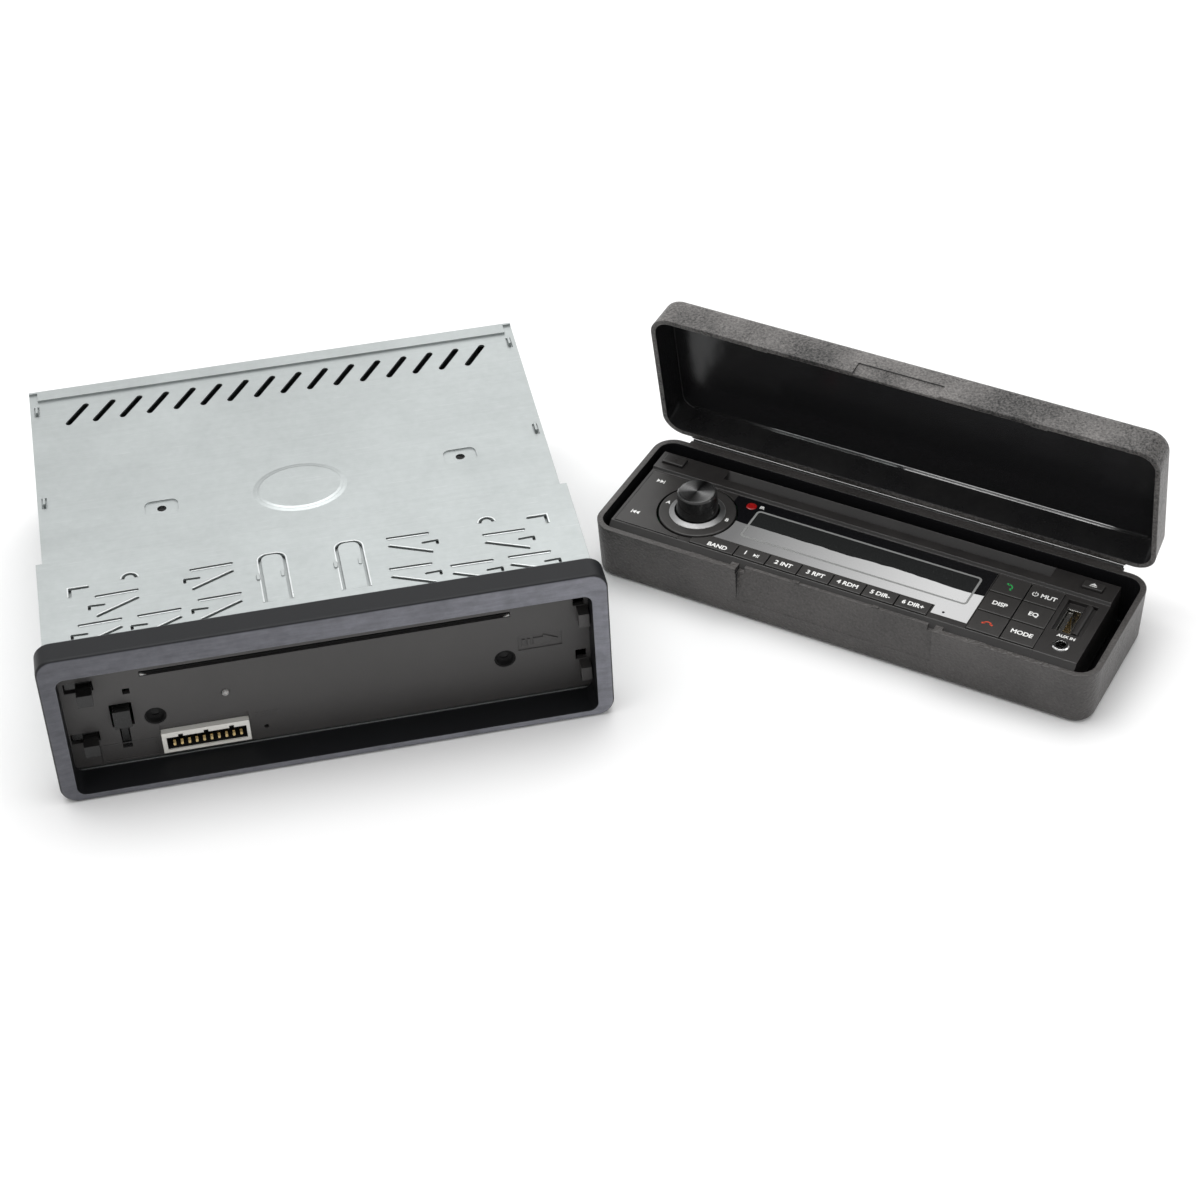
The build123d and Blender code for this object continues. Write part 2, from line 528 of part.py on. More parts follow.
SLED_L = 16.0
with BuildPart() as pickup_sled:
    block((SLED_START, SLED_START + SLED_L), (48.5, 83), (-3.6, 4.0))
    rod((SLED_START + 7, 70, 3.8), 4.5, 3.0)
    rod((SLED_START + 7, 70, 6.4), 2.2, 1.0)
    for path_y in SLED_PATH_Y:
        rod((SLED_START - 1, path_y, 0), 1.5 + RUN_FIT, SLED_L + 2, "X", Mode.SUBTRACT)
    rod((SLED_START - 1, SCREW_Y, 0), 1.5 + RUN_FIT, SLED_L + 2, "X", Mode.SUBTRACT)
finish(pickup_sled, "pickup_sled")

with BuildPart() as lead_screw:
    rod((13, SCREW_Y, 0), 1.5, 57, "X")
    rod((68.4, SCREW_Y, 0), 3.2, 1.8, "X")
finish(lead_screw, "lead_screw")

with BuildPart() as feed_roller:
    rod((-65, 22, 7.6), 2.9, 130, "X")
    rod((-69, 22, 7.6), 1.5, 138, "X")
finish(feed_roller, "feed_roller")

# ---------------------------------------------------------------- main board and what it carries
MAIN_Z = -20.0
with BuildPart() as main_board:
    block((-84, 84), (12, 142), (MAIN_Z, MAIN_Z + 1.6))
    block((SOCKET_X[0] - 2, SOCKET_X[1] + 2), (131, 143), (MAIN_Z - 1, MAIN_Z + 3), Mode.SUBTRACT)
    for at in ((-82, 14), (82, 14), (-82, 126), (82, 126)):
        rod((at[0] * 0.97, at[1], -HALF_H + SHEET), 2.2, MAIN_Z + HALF_H - SHEET)
finish(main_board, "main_board")

with BuildPart() as amplifier_chip:
    block((-66, -38), (CHASSIS_BACK - SHEET - 4.5, CHASSIS_BACK - SHEET), (-12, 6))
    for i in range(12):
        leg = -64.8 + i * 2.3
        block((leg, leg + 0.7), (CHASSIS_BACK - SHEET - 5.1, CHASSIS_BACK - SHEET - 4.4), (-14, -10))
finish(amplifier_chip, "amplifier_chip")

with BuildPart() as capacitors:
    for at in ((-28, 136, 6.5, 16), (-12, 136, 5, 12), (78, 100, 5, 12), (-79, 100, 4, 10)):
        rod((at[0], at[1], MAIN_Z + 1.6), at[2], at[3])
finish(capacitors, "capacitors")

# ---------------------------------------------------------------- screws of the cover and the nose
NOSE_SCREW_Y = FLOOR_Y + 2.4
with BuildPart() as cover_screws:
    for at in DIMPLES:
        rod((at[0], at[1], HALF_H - 4.2), 1.1, 3.1)
    for at in SCREW_AT:
        rod((at[0], NOSE_SCREW_Y, at[1]), 3.0, 1.6, "Y")
        rod((at[0], NOSE_SCREW_Y + 1.5, at[1]), 1.5, 5, "Y")
    for screw_x in REAR_SCREWS_X:
        rod((screw_x, CHASSIS_BACK, REAR_SCREWS_Z), 2.6, 1.6, "Y")
        rod((screw_x, CHASSIS_BACK - 5, REAR_SCREWS_Z), 1.4, 5.2, "Y")
finish(cover_screws, "cover_screws")

# ================================================================ CARRYING CASE
SCOOP_HALF = 37.0
SCOOP_IN = 2.6
LUG_X = 52.0
with BuildPart() as case_base:
    draft_inset = 1.0
    with BuildSketch(Plane.XY):
        RectangleRounded(CASE_L - 2 * draft_inset, CASE_W - 2 * draft_inset, CASE_R - draft_inset)
    extrude(amount=CASE_H, taper=-CASE_TAPER)
    fillet(case_base.faces().sort_by(Axis.Z)[0].edges(), 2.2)
    with BuildSketch(Plane.XY.offset(CASE_WALL)):
        inset = draft_inset + CASE_WALL
        RectangleRounded(CASE_L - 2 * inset, CASE_W - 2 * inset, CASE_R - inset)
    extrude(amount=CASE_H, taper=-CASE_TAPER, mode=Mode.SUBTRACT)
    # thickened front wall with the thumb scoop cut into it
    wall_y = -CASE_W / 2
    block((-SCOOP_HALF - 3, SCOOP_HALF + 3), (wall_y + 1.4, wall_y + 3.8), (1.5, CASE_H))
    with BuildSketch(Plane.YZ.offset(-SCOOP_HALF)):
        with BuildLine():
            Polyline(
                (wall_y - 1, 8.0), (wall_y + 0.7, 8.0), (wall_y + SCOOP_IN, CASE_H + 0.1),
                (wall_y - 1, CASE_H + 0.1), close=True,
            )
        make_face()
    extrude(amount=2 * SCOOP_HALF, mode=Mode.SUBTRACT)
    for side in (-1, 1):
        nick = sorted((side * (SCOOP_HALF + 0.2), side * (SCOOP_HALF - 2.4)))
        block(nick, (wall_y - 1, wall_y + 4.2), (CASE_H - 2.2, CASE_H + 1), Mode.SUBTRACT)
        lug = (side * LUG_X - 3.5, side * LUG_X + 3.5)
        block(lug, (wall_y + 1.6, wall_y + 3.0), (CASE_H - 2.6, CASE_H - 0.6))
        nub = (side * 15 - 1.2, side * 15 + 1.2)
        block(nub, (wall_y + 2.7, wall_y + 3.8), (CASE_H - 0.4, CASE_H + 0.4))
    # cross ribs that the face rests on
    for rib_x in (-70, -28, 14, 56):
        block((rib_x - 1, rib_x + 1), (-22, 23), (CASE_WALL - 0.2, FACE_BACK_Z))
    # hinge leaf on the back rim
    leaf_y = (CASE_W / 2 - 0.6, HINGE_Y - 0.35)
    block((-HINGE_L / 2, HINGE_L / 2), leaf_y, (HINGE_Z - 1.2, HINGE_Z - 0.35))
finish(case_base, "case_base", CASE)

# The lid is drawn closed, with its hinge line as the X axis, and then placed open.
LID_MID_Y = -HINGE_Y
LID_RIM_Z = -HINGE_UP + 0.1
with BuildPart() as case_lid:
    with BuildSketch(Plane.XY.offset(LID_RIM_Z)):
        with Locations((0, LID_MID_Y)):
            RectangleRounded(CASE_L, CASE_W, CASE_R)
    extrude(amount=LID_H, taper=4)
    fillet(case_lid.faces().sort_by(Axis.Z)[-1].edges(), 3.2)
    with BuildSketch(Plane.XY.offset(LID_RIM_Z)):
        with Locations((0, LID_MID_Y)):
            RectangleRounded(CASE_L - 2 * LID_WALL, CASE_W - 2 * LID_WALL, CASE_R - LID_WALL)
    extrude(amount=LID_H - LID_WALL, taper=4, mode=Mode.SUBTRACT)
    # finger recess in the front wall
    front_y = LID_MID_Y - CASE_W / 2
    block((-16, 16), (front_y - 1, front_y + 0.9), (LID_RIM_Z - 1, LID_RIM_Z + 5.5), Mode.SUBTRACT)
    # catch ribs inside the front wall
    for side in (-1, 1):
        rib = (side * LUG_X - 3, side * LUG_X + 3)
        block(rib, (front_y + 1.5, front_y + 2.9), (LID_RIM_Z + 0.6, LID_RIM_Z + 1.8))
    # hinge leaf
    block((-HINGE_L / 2, HINGE_L / 2), (-HINGE_BACK - 0.8, -0.35), (0.35, 1.2))
finish(case_lid, "case_lid", LID)

# ================================================================ DETACHABLE FACE
HALF_FW = FACE_W / 2
HALF_FD = FACE_D / 2
SKIRT = 1.5
SLOT_U = (-61.6, 64.5)
SLOT_V = (16.6, 19.2)
ROCKER_U = (-87.2, KNOB_AT[0])
ROCKER_V = (CHIN_V + 0.3, 10.9)
RING_POCKET_R = KNOB_RING_R + 0.6
KEY_ROW_U = -40.2
KEY_PITCH = 12.3
KEY_ROW_V = (-20.1, -13.7)
BAND_U = (-57.6, KEY_ROW_U)
CLUSTER_U = (47.9, 60.2, 72.5)
CLUSTER_V = (-20.1, -9.3, 1.5, 11.2)
WINDOW_U = (-53.0, 47.5)
WINDOW_V = (-13.3, 11.4)
WINDOW_FOOT_U = 34.2
WINDOW_FOOT_V = -17.6
WINDOW_T = 1.4
IR_AT = (-46.1, 7.9)
MIC_AT = (38.2, -15.7)
RELEASE_AT = (-82.1, 17.9)
RELEASE_SIZE = (8.6, 5.0)
EJECT_AT = (79.9, 17.6)
EJECT_SIZE = (7.6, 4.0)
USB_U = (74.8, 80.6)
USB_V = (-6.4, 6.8)
SHUTTER_U = (74.2, 85.0)
SHUTTER_V = (-7.6, 9.4)
SHUTTER_FLOOR = FIELD_Z - 1.7
AUX_AT = (80.2, -14.2)
AUX_R = 3.0
AUX_BORE_R = 1.8


def key_openings():
    """(u limits, v limits) of every rectangular key, by node name."""
    keys = {"band_key": (BAND_U, KEY_ROW_V)}
    for i in range(6):
        left = KEY_ROW_U + i * KEY_PITCH
        keys[f"preset_key_{i + 1}"] = ((left, left + KEY_PITCH), KEY_ROW_V)
    names = (("end_key", "mode_key"), ("display_key", "eq_key"), ("call_key", "mute_key"))
    for row, pair in enumerate(names):
        for column, name in enumerate(pair):
            u = (CLUSTER_U[column], CLUSTER_U[column + 1])
            keys[name] = (u, (CLUSTER_V[row], CLUSTER_V[row + 1]))
    return keys


def knob_circle(radius, z, height, mode):
    """A disc about the knob's axis in the open part."""
    rod((KNOB_AT[0], KNOB_AT[1], z), radius, height, "Z", mode)


# The display window steps down at its right end.
WINDOW_OUTLINE = (
    (WINDOW_U[0], WINDOW_V[1]), (WINDOW_U[1], WINDOW_V[1]), (WINDOW_U[1], WINDOW_FOOT_V),
    (WINDOW_FOOT_U, WINDOW_FOOT_V), (WINDOW_FOOT_U, WINDOW_V[0]), (WINDOW_U[0], WINDOW_V[0]),
)
KEYS = key_openings()

# ---------------------------------------------------------------- face front: shelf, key field, chin
CHIN_DROP = 3.2
with BuildPart() as face_front:
    with BuildSketch(Plane.YZ.offset(-HALF_FW)):
        with BuildLine():
            Polyline(
                (-HALF_FD, FACE_BACK_Z + 1.5), (-HALF_FD, FIELD_Z - CHIN_DROP), (CHIN_V, FIELD_Z),
                (SHELF_V, FIELD_Z), (SHELF_V + 0.7, SHELF_Z), (HALF_FD - 2.0, SHELF_Z),
                (HALF_FD, SHELF_Z - 2.0), (HALF_FD, FACE_BACK_Z + 1.5), close=True,
            )
        make_face()
    extrude(amount=FACE_W)
    with BuildSketch(Plane.XY):
        RectangleRounded(FACE_W, FACE_D, FACE_R)
    extrude(amount=SHELF_Z + 1, mode=Mode.INTERSECT)
    block(
        (-HALF_FW + SKIRT, HALF_FW - SKIRT), (-HALF_FD + SKIRT, HALF_FD - SKIRT),
        (FACE_BACK_Z, FIELD_Z - PLATE_T - 1.4), Mode.SUBTRACT,
    )
    # disc slot: a long bevelled channel with a through slot at its foot
    with BuildSketch(Plane.YZ.offset(SLOT_U[0])):
        with BuildLine():
            Polyline(
                (SLOT_V[0], SHELF_Z + 0.1), (SLOT_V[0], SHELF_Z - 2.6), (SLOT_V[1], SHELF_Z - 2.6),
                (SLOT_V[1] + 2.6, SHELF_Z + 0.1), close=True,
            )
        make_face()
    extrude(amount=SLOT_U[1] - SLOT_U[0], mode=Mode.SUBTRACT)
    block(SLOT_U, (SLOT_V[0] + 0.2, SLOT_V[1]), (FACE_BACK_Z, SHELF_Z), Mode.SUBTRACT)
    # openings of the keys, the rocker plate and the knob ring
    key_z = (FACE_BACK_Z, SHELF_Z + 1)
    for u, v in KEYS.values():
        block(u, v, key_z, Mode.SUBTRACT)
    block(ROCKER_U, ROCKER_V, key_z, Mode.SUBTRACT)
    knob_circle(RING_POCKET_R, FACE_BACK_Z, 20, Mode.SUBTRACT)
    # pocket and light opening of the display window
    with BuildSketch(Plane.XY.offset(FIELD_Z - WINDOW_T)):
        with BuildLine():
            Polyline(*WINDOW_OUTLINE, close=True)
        make_face()
    extrude(amount=5, mode=Mode.SUBTRACT)
    block((-44.0, 45.0), (-12.0, 9.5), key_z, Mode.SUBTRACT)
    rod((IR_AT[0], IR_AT[1], FACE_BACK_Z), 2.2, 20, "Z", Mode.SUBTRACT)
    rod((MIC_AT[0], MIC_AT[1], FACE_BACK_Z), 0.6, 20, "Z", Mode.SUBTRACT)
    # shelf keys
    for at, size in ((RELEASE_AT, RELEASE_SIZE), (EJECT_AT, EJECT_SIZE)):
        u = (at[0] - size[0] / 2, at[0] + size[0] / 2)
        v = (at[1] - size[1] / 2, at[1] + size[1] / 2)
        block(u, v, key_z, Mode.SUBTRACT)
    # recess of the sliding cover, the slot it runs back into, and the two sockets
    block(SHUTTER_U, SHUTTER_V, (SHUTTER_FLOOR, SHELF_Z), Mode.SUBTRACT)
    block(
        (SHUTTER_U[0], HALF_FW - 0.9), (SHUTTER_V[0] + 0.4, SHUTTER_V[1] - 0.4),
        (SHUTTER_FLOOR, SHUTTER_FLOOR + 1.0), Mode.SUBTRACT,
    )
    block(USB_U, USB_V, key_z, Mode.SUBTRACT)
    rod((AUX_AT[0], AUX_AT[1], FACE_BACK_Z), AUX_R + 0.1, 20, "Z", Mode.SUBTRACT)
finish(face_front, "face_front", FACE)

# ---------------------------------------------------------------- face back, with pads for the connector
PAD_U = (-60.0, -34.0)
PAD_V = (-20.5, -15.0)
with BuildPart() as face_back:
    block((-HALF_FW, HALF_FW), (-HALF_FD, HALF_FD), (FACE_BACK_Z, FACE_BACK_Z + 1.5))
    fillet(face_back.edges().filter_by(Axis.Z), FACE_R)
    block(SLOT_U, (SLOT_V[0] + 0.2, SLOT_V[1]), (FACE_BACK_Z - 1, FACE_BACK_Z + 3), Mode.SUBTRACT)
    block(PAD_U, PAD_V, (FACE_BACK_Z - 1, FACE_BACK_Z + 3), Mode.SUBTRACT)
    for peg in ((-84, -19), (-84, 19), (68, -19), (84, 19)):
        rod((peg[0], peg[1], FACE_BACK_Z + 1.4), 2.2, 3)
finish(face_back, "face_back", FACE)

with BuildPart() as face_contacts:
    block(
        (PAD_U[0] + 0.1, PAD_U[1] - 0.1), (PAD_V[0] + 0.1, PAD_V[1] - 0.1),
        (FACE_BACK_Z + 0.8, FACE_BACK_Z + 1.5),
    )
    for i in range(PIN_COUNT):
        pad = PAD_U[0] + 1.2 + i * PIN_PITCH
        pad_v = (PAD_V[0] + 0.6, PAD_V[1] - 0.6)
        block((pad, pad + 1.2), pad_v, (FACE_BACK_Z + 0.4, FACE_BACK_Z + 0.9))
finish(face_contacts, "face_contacts", FACE)

# ---------------------------------------------------------------- face electronics
with BuildPart() as face_board:
    block((-84, 72), (-21.5, 14.5), (BOARD_Z, BOARD_Z + BOARD_T))
finish(face_board, "face_board", FACE)

LCD_TOP = FIELD_Z - WINDOW_T - 0.3
with BuildPart() as lcd_panel:
    block((-43.5, 44.5), (-11.6, 9.2), (LCD_TOP - 2.4, LCD_TOP))
    block((-41, 42), (-9.4, 7.4), (BOARD_Z + BOARD_T, LCD_TOP - 2.3))
finish(lcd_panel, "lcd_panel", FACE)

with BuildPart() as display_window:
    with BuildSketch(Plane.XY.offset(FIELD_Z - WINDOW_T)):
        with BuildLine():
            Polyline(*WINDOW_OUTLINE, close=True)
        make_face()
    extrude(amount=WINDOW_T)
    knob_circle(RING_POCKET_R, FACE_BACK_Z, 20, Mode.SUBTRACT)
    rod((IR_AT[0], IR_AT[1], FACE_BACK_Z), 2.05, 20, "Z", Mode.SUBTRACT)
    rod((MIC_AT[0], MIC_AT[1], FACE_BACK_Z), 0.5, 20, "Z", Mode.SUBTRACT)
finish(display_window, "display_window", FACE)

with BuildPart() as ir_window:
    rod((IR_AT[0], IR_AT[1], FIELD_Z - 4.5), 2.0, 4.6)
    fillet(ir_window.edges().sort_by(Axis.Z)[-1], 0.5)
finish(ir_window, "ir_window", FACE)

with BuildPart() as encoder:
    block(
        (KNOB_AT[0] - 6, KNOB_AT[0] + 6), (KNOB_AT[1] - 6, KNOB_AT[1] + 6),
        (BOARD_Z + BOARD_T, BOARD_Z + BOARD_T + 3.6),
    )
    knob_circle(4.4, BOARD_Z + BOARD_T + 3.5, 5.0, Mode.ADD)
    knob_circle(SHAFT_R + RUN_FIT, BOARD_Z + BOARD_T + 0.6, 20, Mode.SUBTRACT)
finish(encoder, "encoder", FACE)

# ---------------------------------------------------------------- volume knob with its spun cap
KNOB_FOOT = FIELD_Z - 0.2
with BuildPart() as volume_knob:
    with BuildSketch(Plane.XZ):
        with BuildLine():
            Polyline(
                (0, KNOB_FOOT - 3.6), (SHAFT_R, KNOB_FOOT - 3.6), (SHAFT_R, KNOB_TOP - 2.6),
                (KNOB_R - 1.4, KNOB_TOP - 2.6), (KNOB_R - 1.4, KNOB_FOOT), (KNOB_R, KNOB_FOOT),
                (KNOB_TOP_R, KNOB_TOP - 0.5), (KNOB_TOP_R - 0.5, KNOB_TOP), (0, KNOB_TOP), close=True,
            )
        make_face()
    revolve(axis=Axis.Z)
    rod((0, 0, KNOB_TOP - 0.4), KNOB_TOP_R - 0.7, 1, "Z", Mode.SUBTRACT)
finish(volume_knob, "volume_knob", FACE * Location((KNOB_AT[0], KNOB_AT[1], 0)))

with BuildPart() as knob_cap:
    rod((0, 0, KNOB_TOP - 0.4), KNOB_TOP_R - 0.7, 0.6)
    chamfer(knob_cap.edges().sort_by(Axis.Z)[-1], 0.15)
finish(knob_cap, "knob_cap", FACE * Location((KNOB_AT[0], KNOB_AT[1], 0)))

# ---------------------------------------------------------------- rocking ring and its bright trim
RING_FOOT = FIELD_Z - 2.6
with BuildPart() as knob_ring:
    with BuildSketch(Plane.XY.offset(RING_FOOT)):
        Circle(KNOB_RING_R)
        Circle(KNOB_RING_BORE, mode=Mode.SUBTRACT)
    extrude(amount=FIELD_Z + 0.5 - RING_FOOT)
    fillet(knob_ring.edges().group_by(Axis.Z)[-1].sort_by(SortBy.RADIUS)[-1], 0.5)
finish(knob_ring, "knob_ring", FACE * Location((KNOB_AT[0], KNOB_AT[1], 0)))

with BuildPart() as ring_trim:
    with BuildSketch(Plane.XZ):
        with BuildLine():
            Polyline(
                (KNOB_RING_BORE, RING_FOOT), (KNOB_RING_BORE, FIELD_Z + 0.55),
                (KNOB_RING_BORE - 0.2, FIELD_Z + 0.55), (KNOB_R + 0.5, FIELD_Z + 1.4),
                (KNOB_R + 0.5, RING_FOOT), close=True,
            )
        make_face()
    revolve(axis=Axis.Z)
finish(ring_trim, "ring_trim", FACE * Location((KNOB_AT[0], KNOB_AT[1], 0)))

# ---------------------------------------------------------------- keys
with BuildPart() as track_rocker:
    u = (ROCKER_U[0] + KEY_GAP, ROCKER_U[1])
    v = (ROCKER_V[0] + KEY_GAP, ROCKER_V[1] - KEY_GAP)
    block(u, v, (FIELD_Z - 2.2, FIELD_Z + 0.2))
    block((ROCKER_U[0] + 3, -80), (9 - 4, 9), (KEY_FOOT, FIELD_Z - 2.1))
    block((ROCKER_U[0] + 3, -80), (-16, -12), (KEY_FOOT, FIELD_Z - 2.1))
    knob_circle(RING_POCKET_R + 0.2, FACE_BACK_Z, 20, Mode.SUBTRACT)
finish(track_rocker, "track_rocker", FACE)

for key_name, (u, v) in KEYS.items():
    with BuildPart() as key:
        cap_u = (u[0] + KEY_GAP, u[1] - KEY_GAP)
        cap_v = (v[0] + KEY_GAP, v[1] - KEY_GAP)
        block(cap_u, cap_v, (FIELD_Z - 2.6, KEY_TOP))
        fillet(key.faces().sort_by(Axis.Z)[-1].edges(), 0.3)
        stem = ((cap_u[0] + cap_u[1]) / 2, (cap_v[0] + cap_v[1]) / 2)
        rod((stem[0], stem[1], KEY_FOOT), 1.6, FIELD_Z - 2.5 - KEY_FOOT)
        if key_name == "band_key":
            knob_circle(RING_POCKET_R + 0.2, FACE_BACK_Z, 20, Mode.SUBTRACT)
    finish(key, key_name, FACE)

SHELF_KEYS = (
    ("eject_key", EJECT_AT, EJECT_SIZE),
    ("release_button", RELEASE_AT, RELEASE_SIZE),
)
for key_name, at, size in SHELF_KEYS:
    with BuildPart() as key:
        with BuildSketch(Plane.XY.offset(SHELF_Z - 3.4)):
            with Locations(at):
                Rectangle(size[0] - 2 * KEY_GAP, size[1] - 2 * KEY_GAP)
        extrude(amount=4.4)
        fillet(key.faces().sort_by(Axis.Z)[-1].edges(), 0.3)
        rod((at[0], at[1], KEY_FOOT + 2), 1.4, 5)
    finish(key, key_name, FACE)

# ---------------------------------------------------------------- sockets and the sliding cover
with BuildPart() as usb_socket:
    skin = 0.1
    shell_u = (USB_U[0] + skin, USB_U[1] - skin)
    shell_v = (USB_V[0] + skin, USB_V[1] - skin)
    block(shell_u, shell_v, (FACE_BACK_Z + 1.6, SHUTTER_FLOOR))
    block(
        (shell_u[0] + 0.4, shell_u[1] - 0.4), (shell_v[0] + 0.4, shell_v[1] - 0.4),
        (FACE_BACK_Z + 3, SHELF_Z), Mode.SUBTRACT,
    )
    tongue_u = (shell_u[0] + 0.8, shell_u[0] + 2.4)
    block(tongue_u, (shell_v[0] + 1, shell_v[1] - 1), (FACE_BACK_Z + 2.8, SHUTTER_FLOOR - 0.8))
finish(usb_socket, "usb_socket", FACE)

SHUTTER_LEAF_U = (80.9, 87.1)
SHUTTER_LEAF_Z = (SHUTTER_FLOOR + 0.1, SHUTTER_FLOOR + 0.8)
BAR_R = 1.3
with BuildPart() as usb_shutter:
    leaf_v = (SHUTTER_V[0] + 0.6, SHUTTER_V[1] - 0.6)
    block(SHUTTER_LEAF_U, leaf_v, SHUTTER_LEAF_Z)
    rod((SHUTTER_LEAF_U[0] + BAR_R, leaf_v[0], SHUTTER_LEAF_Z[1]), BAR_R, leaf_v[1] - leaf_v[0], "Y")
    block(SHUTTER_LEAF_U, leaf_v, (SHUTTER_LEAF_Z[0] - 2, SHUTTER_LEAF_Z[0]), Mode.SUBTRACT)
finish(usb_shutter, "usb_shutter", FACE)

with BuildPart() as aux_jack:
    rod((AUX_AT[0], AUX_AT[1], FACE_BACK_Z + 1.6), AUX_R, FIELD_Z + 0.5 - FACE_BACK_Z - 1.6)
    chamfer(aux_jack.edges().sort_by(Axis.Z)[-1], 0.4)
    rod((AUX_AT[0], AUX_AT[1], FACE_BACK_Z + 3), AUX_BORE_R, 20, "Z", Mode.SUBTRACT)
finish(aux_jack, "aux_jack", FACE)
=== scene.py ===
"""Looks of the car radio: the head unit in its sleeve, and the face in its open carrying case."""

import json
import logging
import math
from dataclasses import dataclass
from enum import Enum

import bmesh
import bpy
from mathutils import Matrix, Vector


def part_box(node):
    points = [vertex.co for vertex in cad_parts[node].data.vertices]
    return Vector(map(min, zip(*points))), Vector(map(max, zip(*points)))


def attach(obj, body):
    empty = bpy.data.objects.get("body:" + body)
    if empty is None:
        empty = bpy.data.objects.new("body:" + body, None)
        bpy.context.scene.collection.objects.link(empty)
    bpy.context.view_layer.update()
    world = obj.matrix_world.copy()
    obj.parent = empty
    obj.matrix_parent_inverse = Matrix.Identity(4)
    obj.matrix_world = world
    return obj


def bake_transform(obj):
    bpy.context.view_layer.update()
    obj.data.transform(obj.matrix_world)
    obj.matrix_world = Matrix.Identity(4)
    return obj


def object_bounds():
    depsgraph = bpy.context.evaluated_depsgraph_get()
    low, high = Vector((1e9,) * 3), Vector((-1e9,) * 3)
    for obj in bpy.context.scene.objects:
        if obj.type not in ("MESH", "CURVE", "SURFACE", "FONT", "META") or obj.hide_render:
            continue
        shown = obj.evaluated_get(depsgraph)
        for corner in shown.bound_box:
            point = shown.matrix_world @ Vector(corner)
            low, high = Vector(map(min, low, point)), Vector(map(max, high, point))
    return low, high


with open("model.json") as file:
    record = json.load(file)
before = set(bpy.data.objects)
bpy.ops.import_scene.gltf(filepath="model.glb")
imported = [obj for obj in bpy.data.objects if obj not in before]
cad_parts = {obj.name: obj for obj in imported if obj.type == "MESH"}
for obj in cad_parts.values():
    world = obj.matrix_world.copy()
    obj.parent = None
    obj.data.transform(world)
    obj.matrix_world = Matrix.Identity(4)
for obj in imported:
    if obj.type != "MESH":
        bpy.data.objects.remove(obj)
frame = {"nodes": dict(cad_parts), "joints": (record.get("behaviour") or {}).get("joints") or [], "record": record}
cad_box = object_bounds()

MM = 0.001
DUST_COLOUR = (0.42, 0.40, 0.37)
log = logging.getLogger("car_radio")
Colour = tuple[float, float, float]
Point2 = tuple[float, float]
Outline = list[Point2]
Socket = bpy.types.NodeSocket


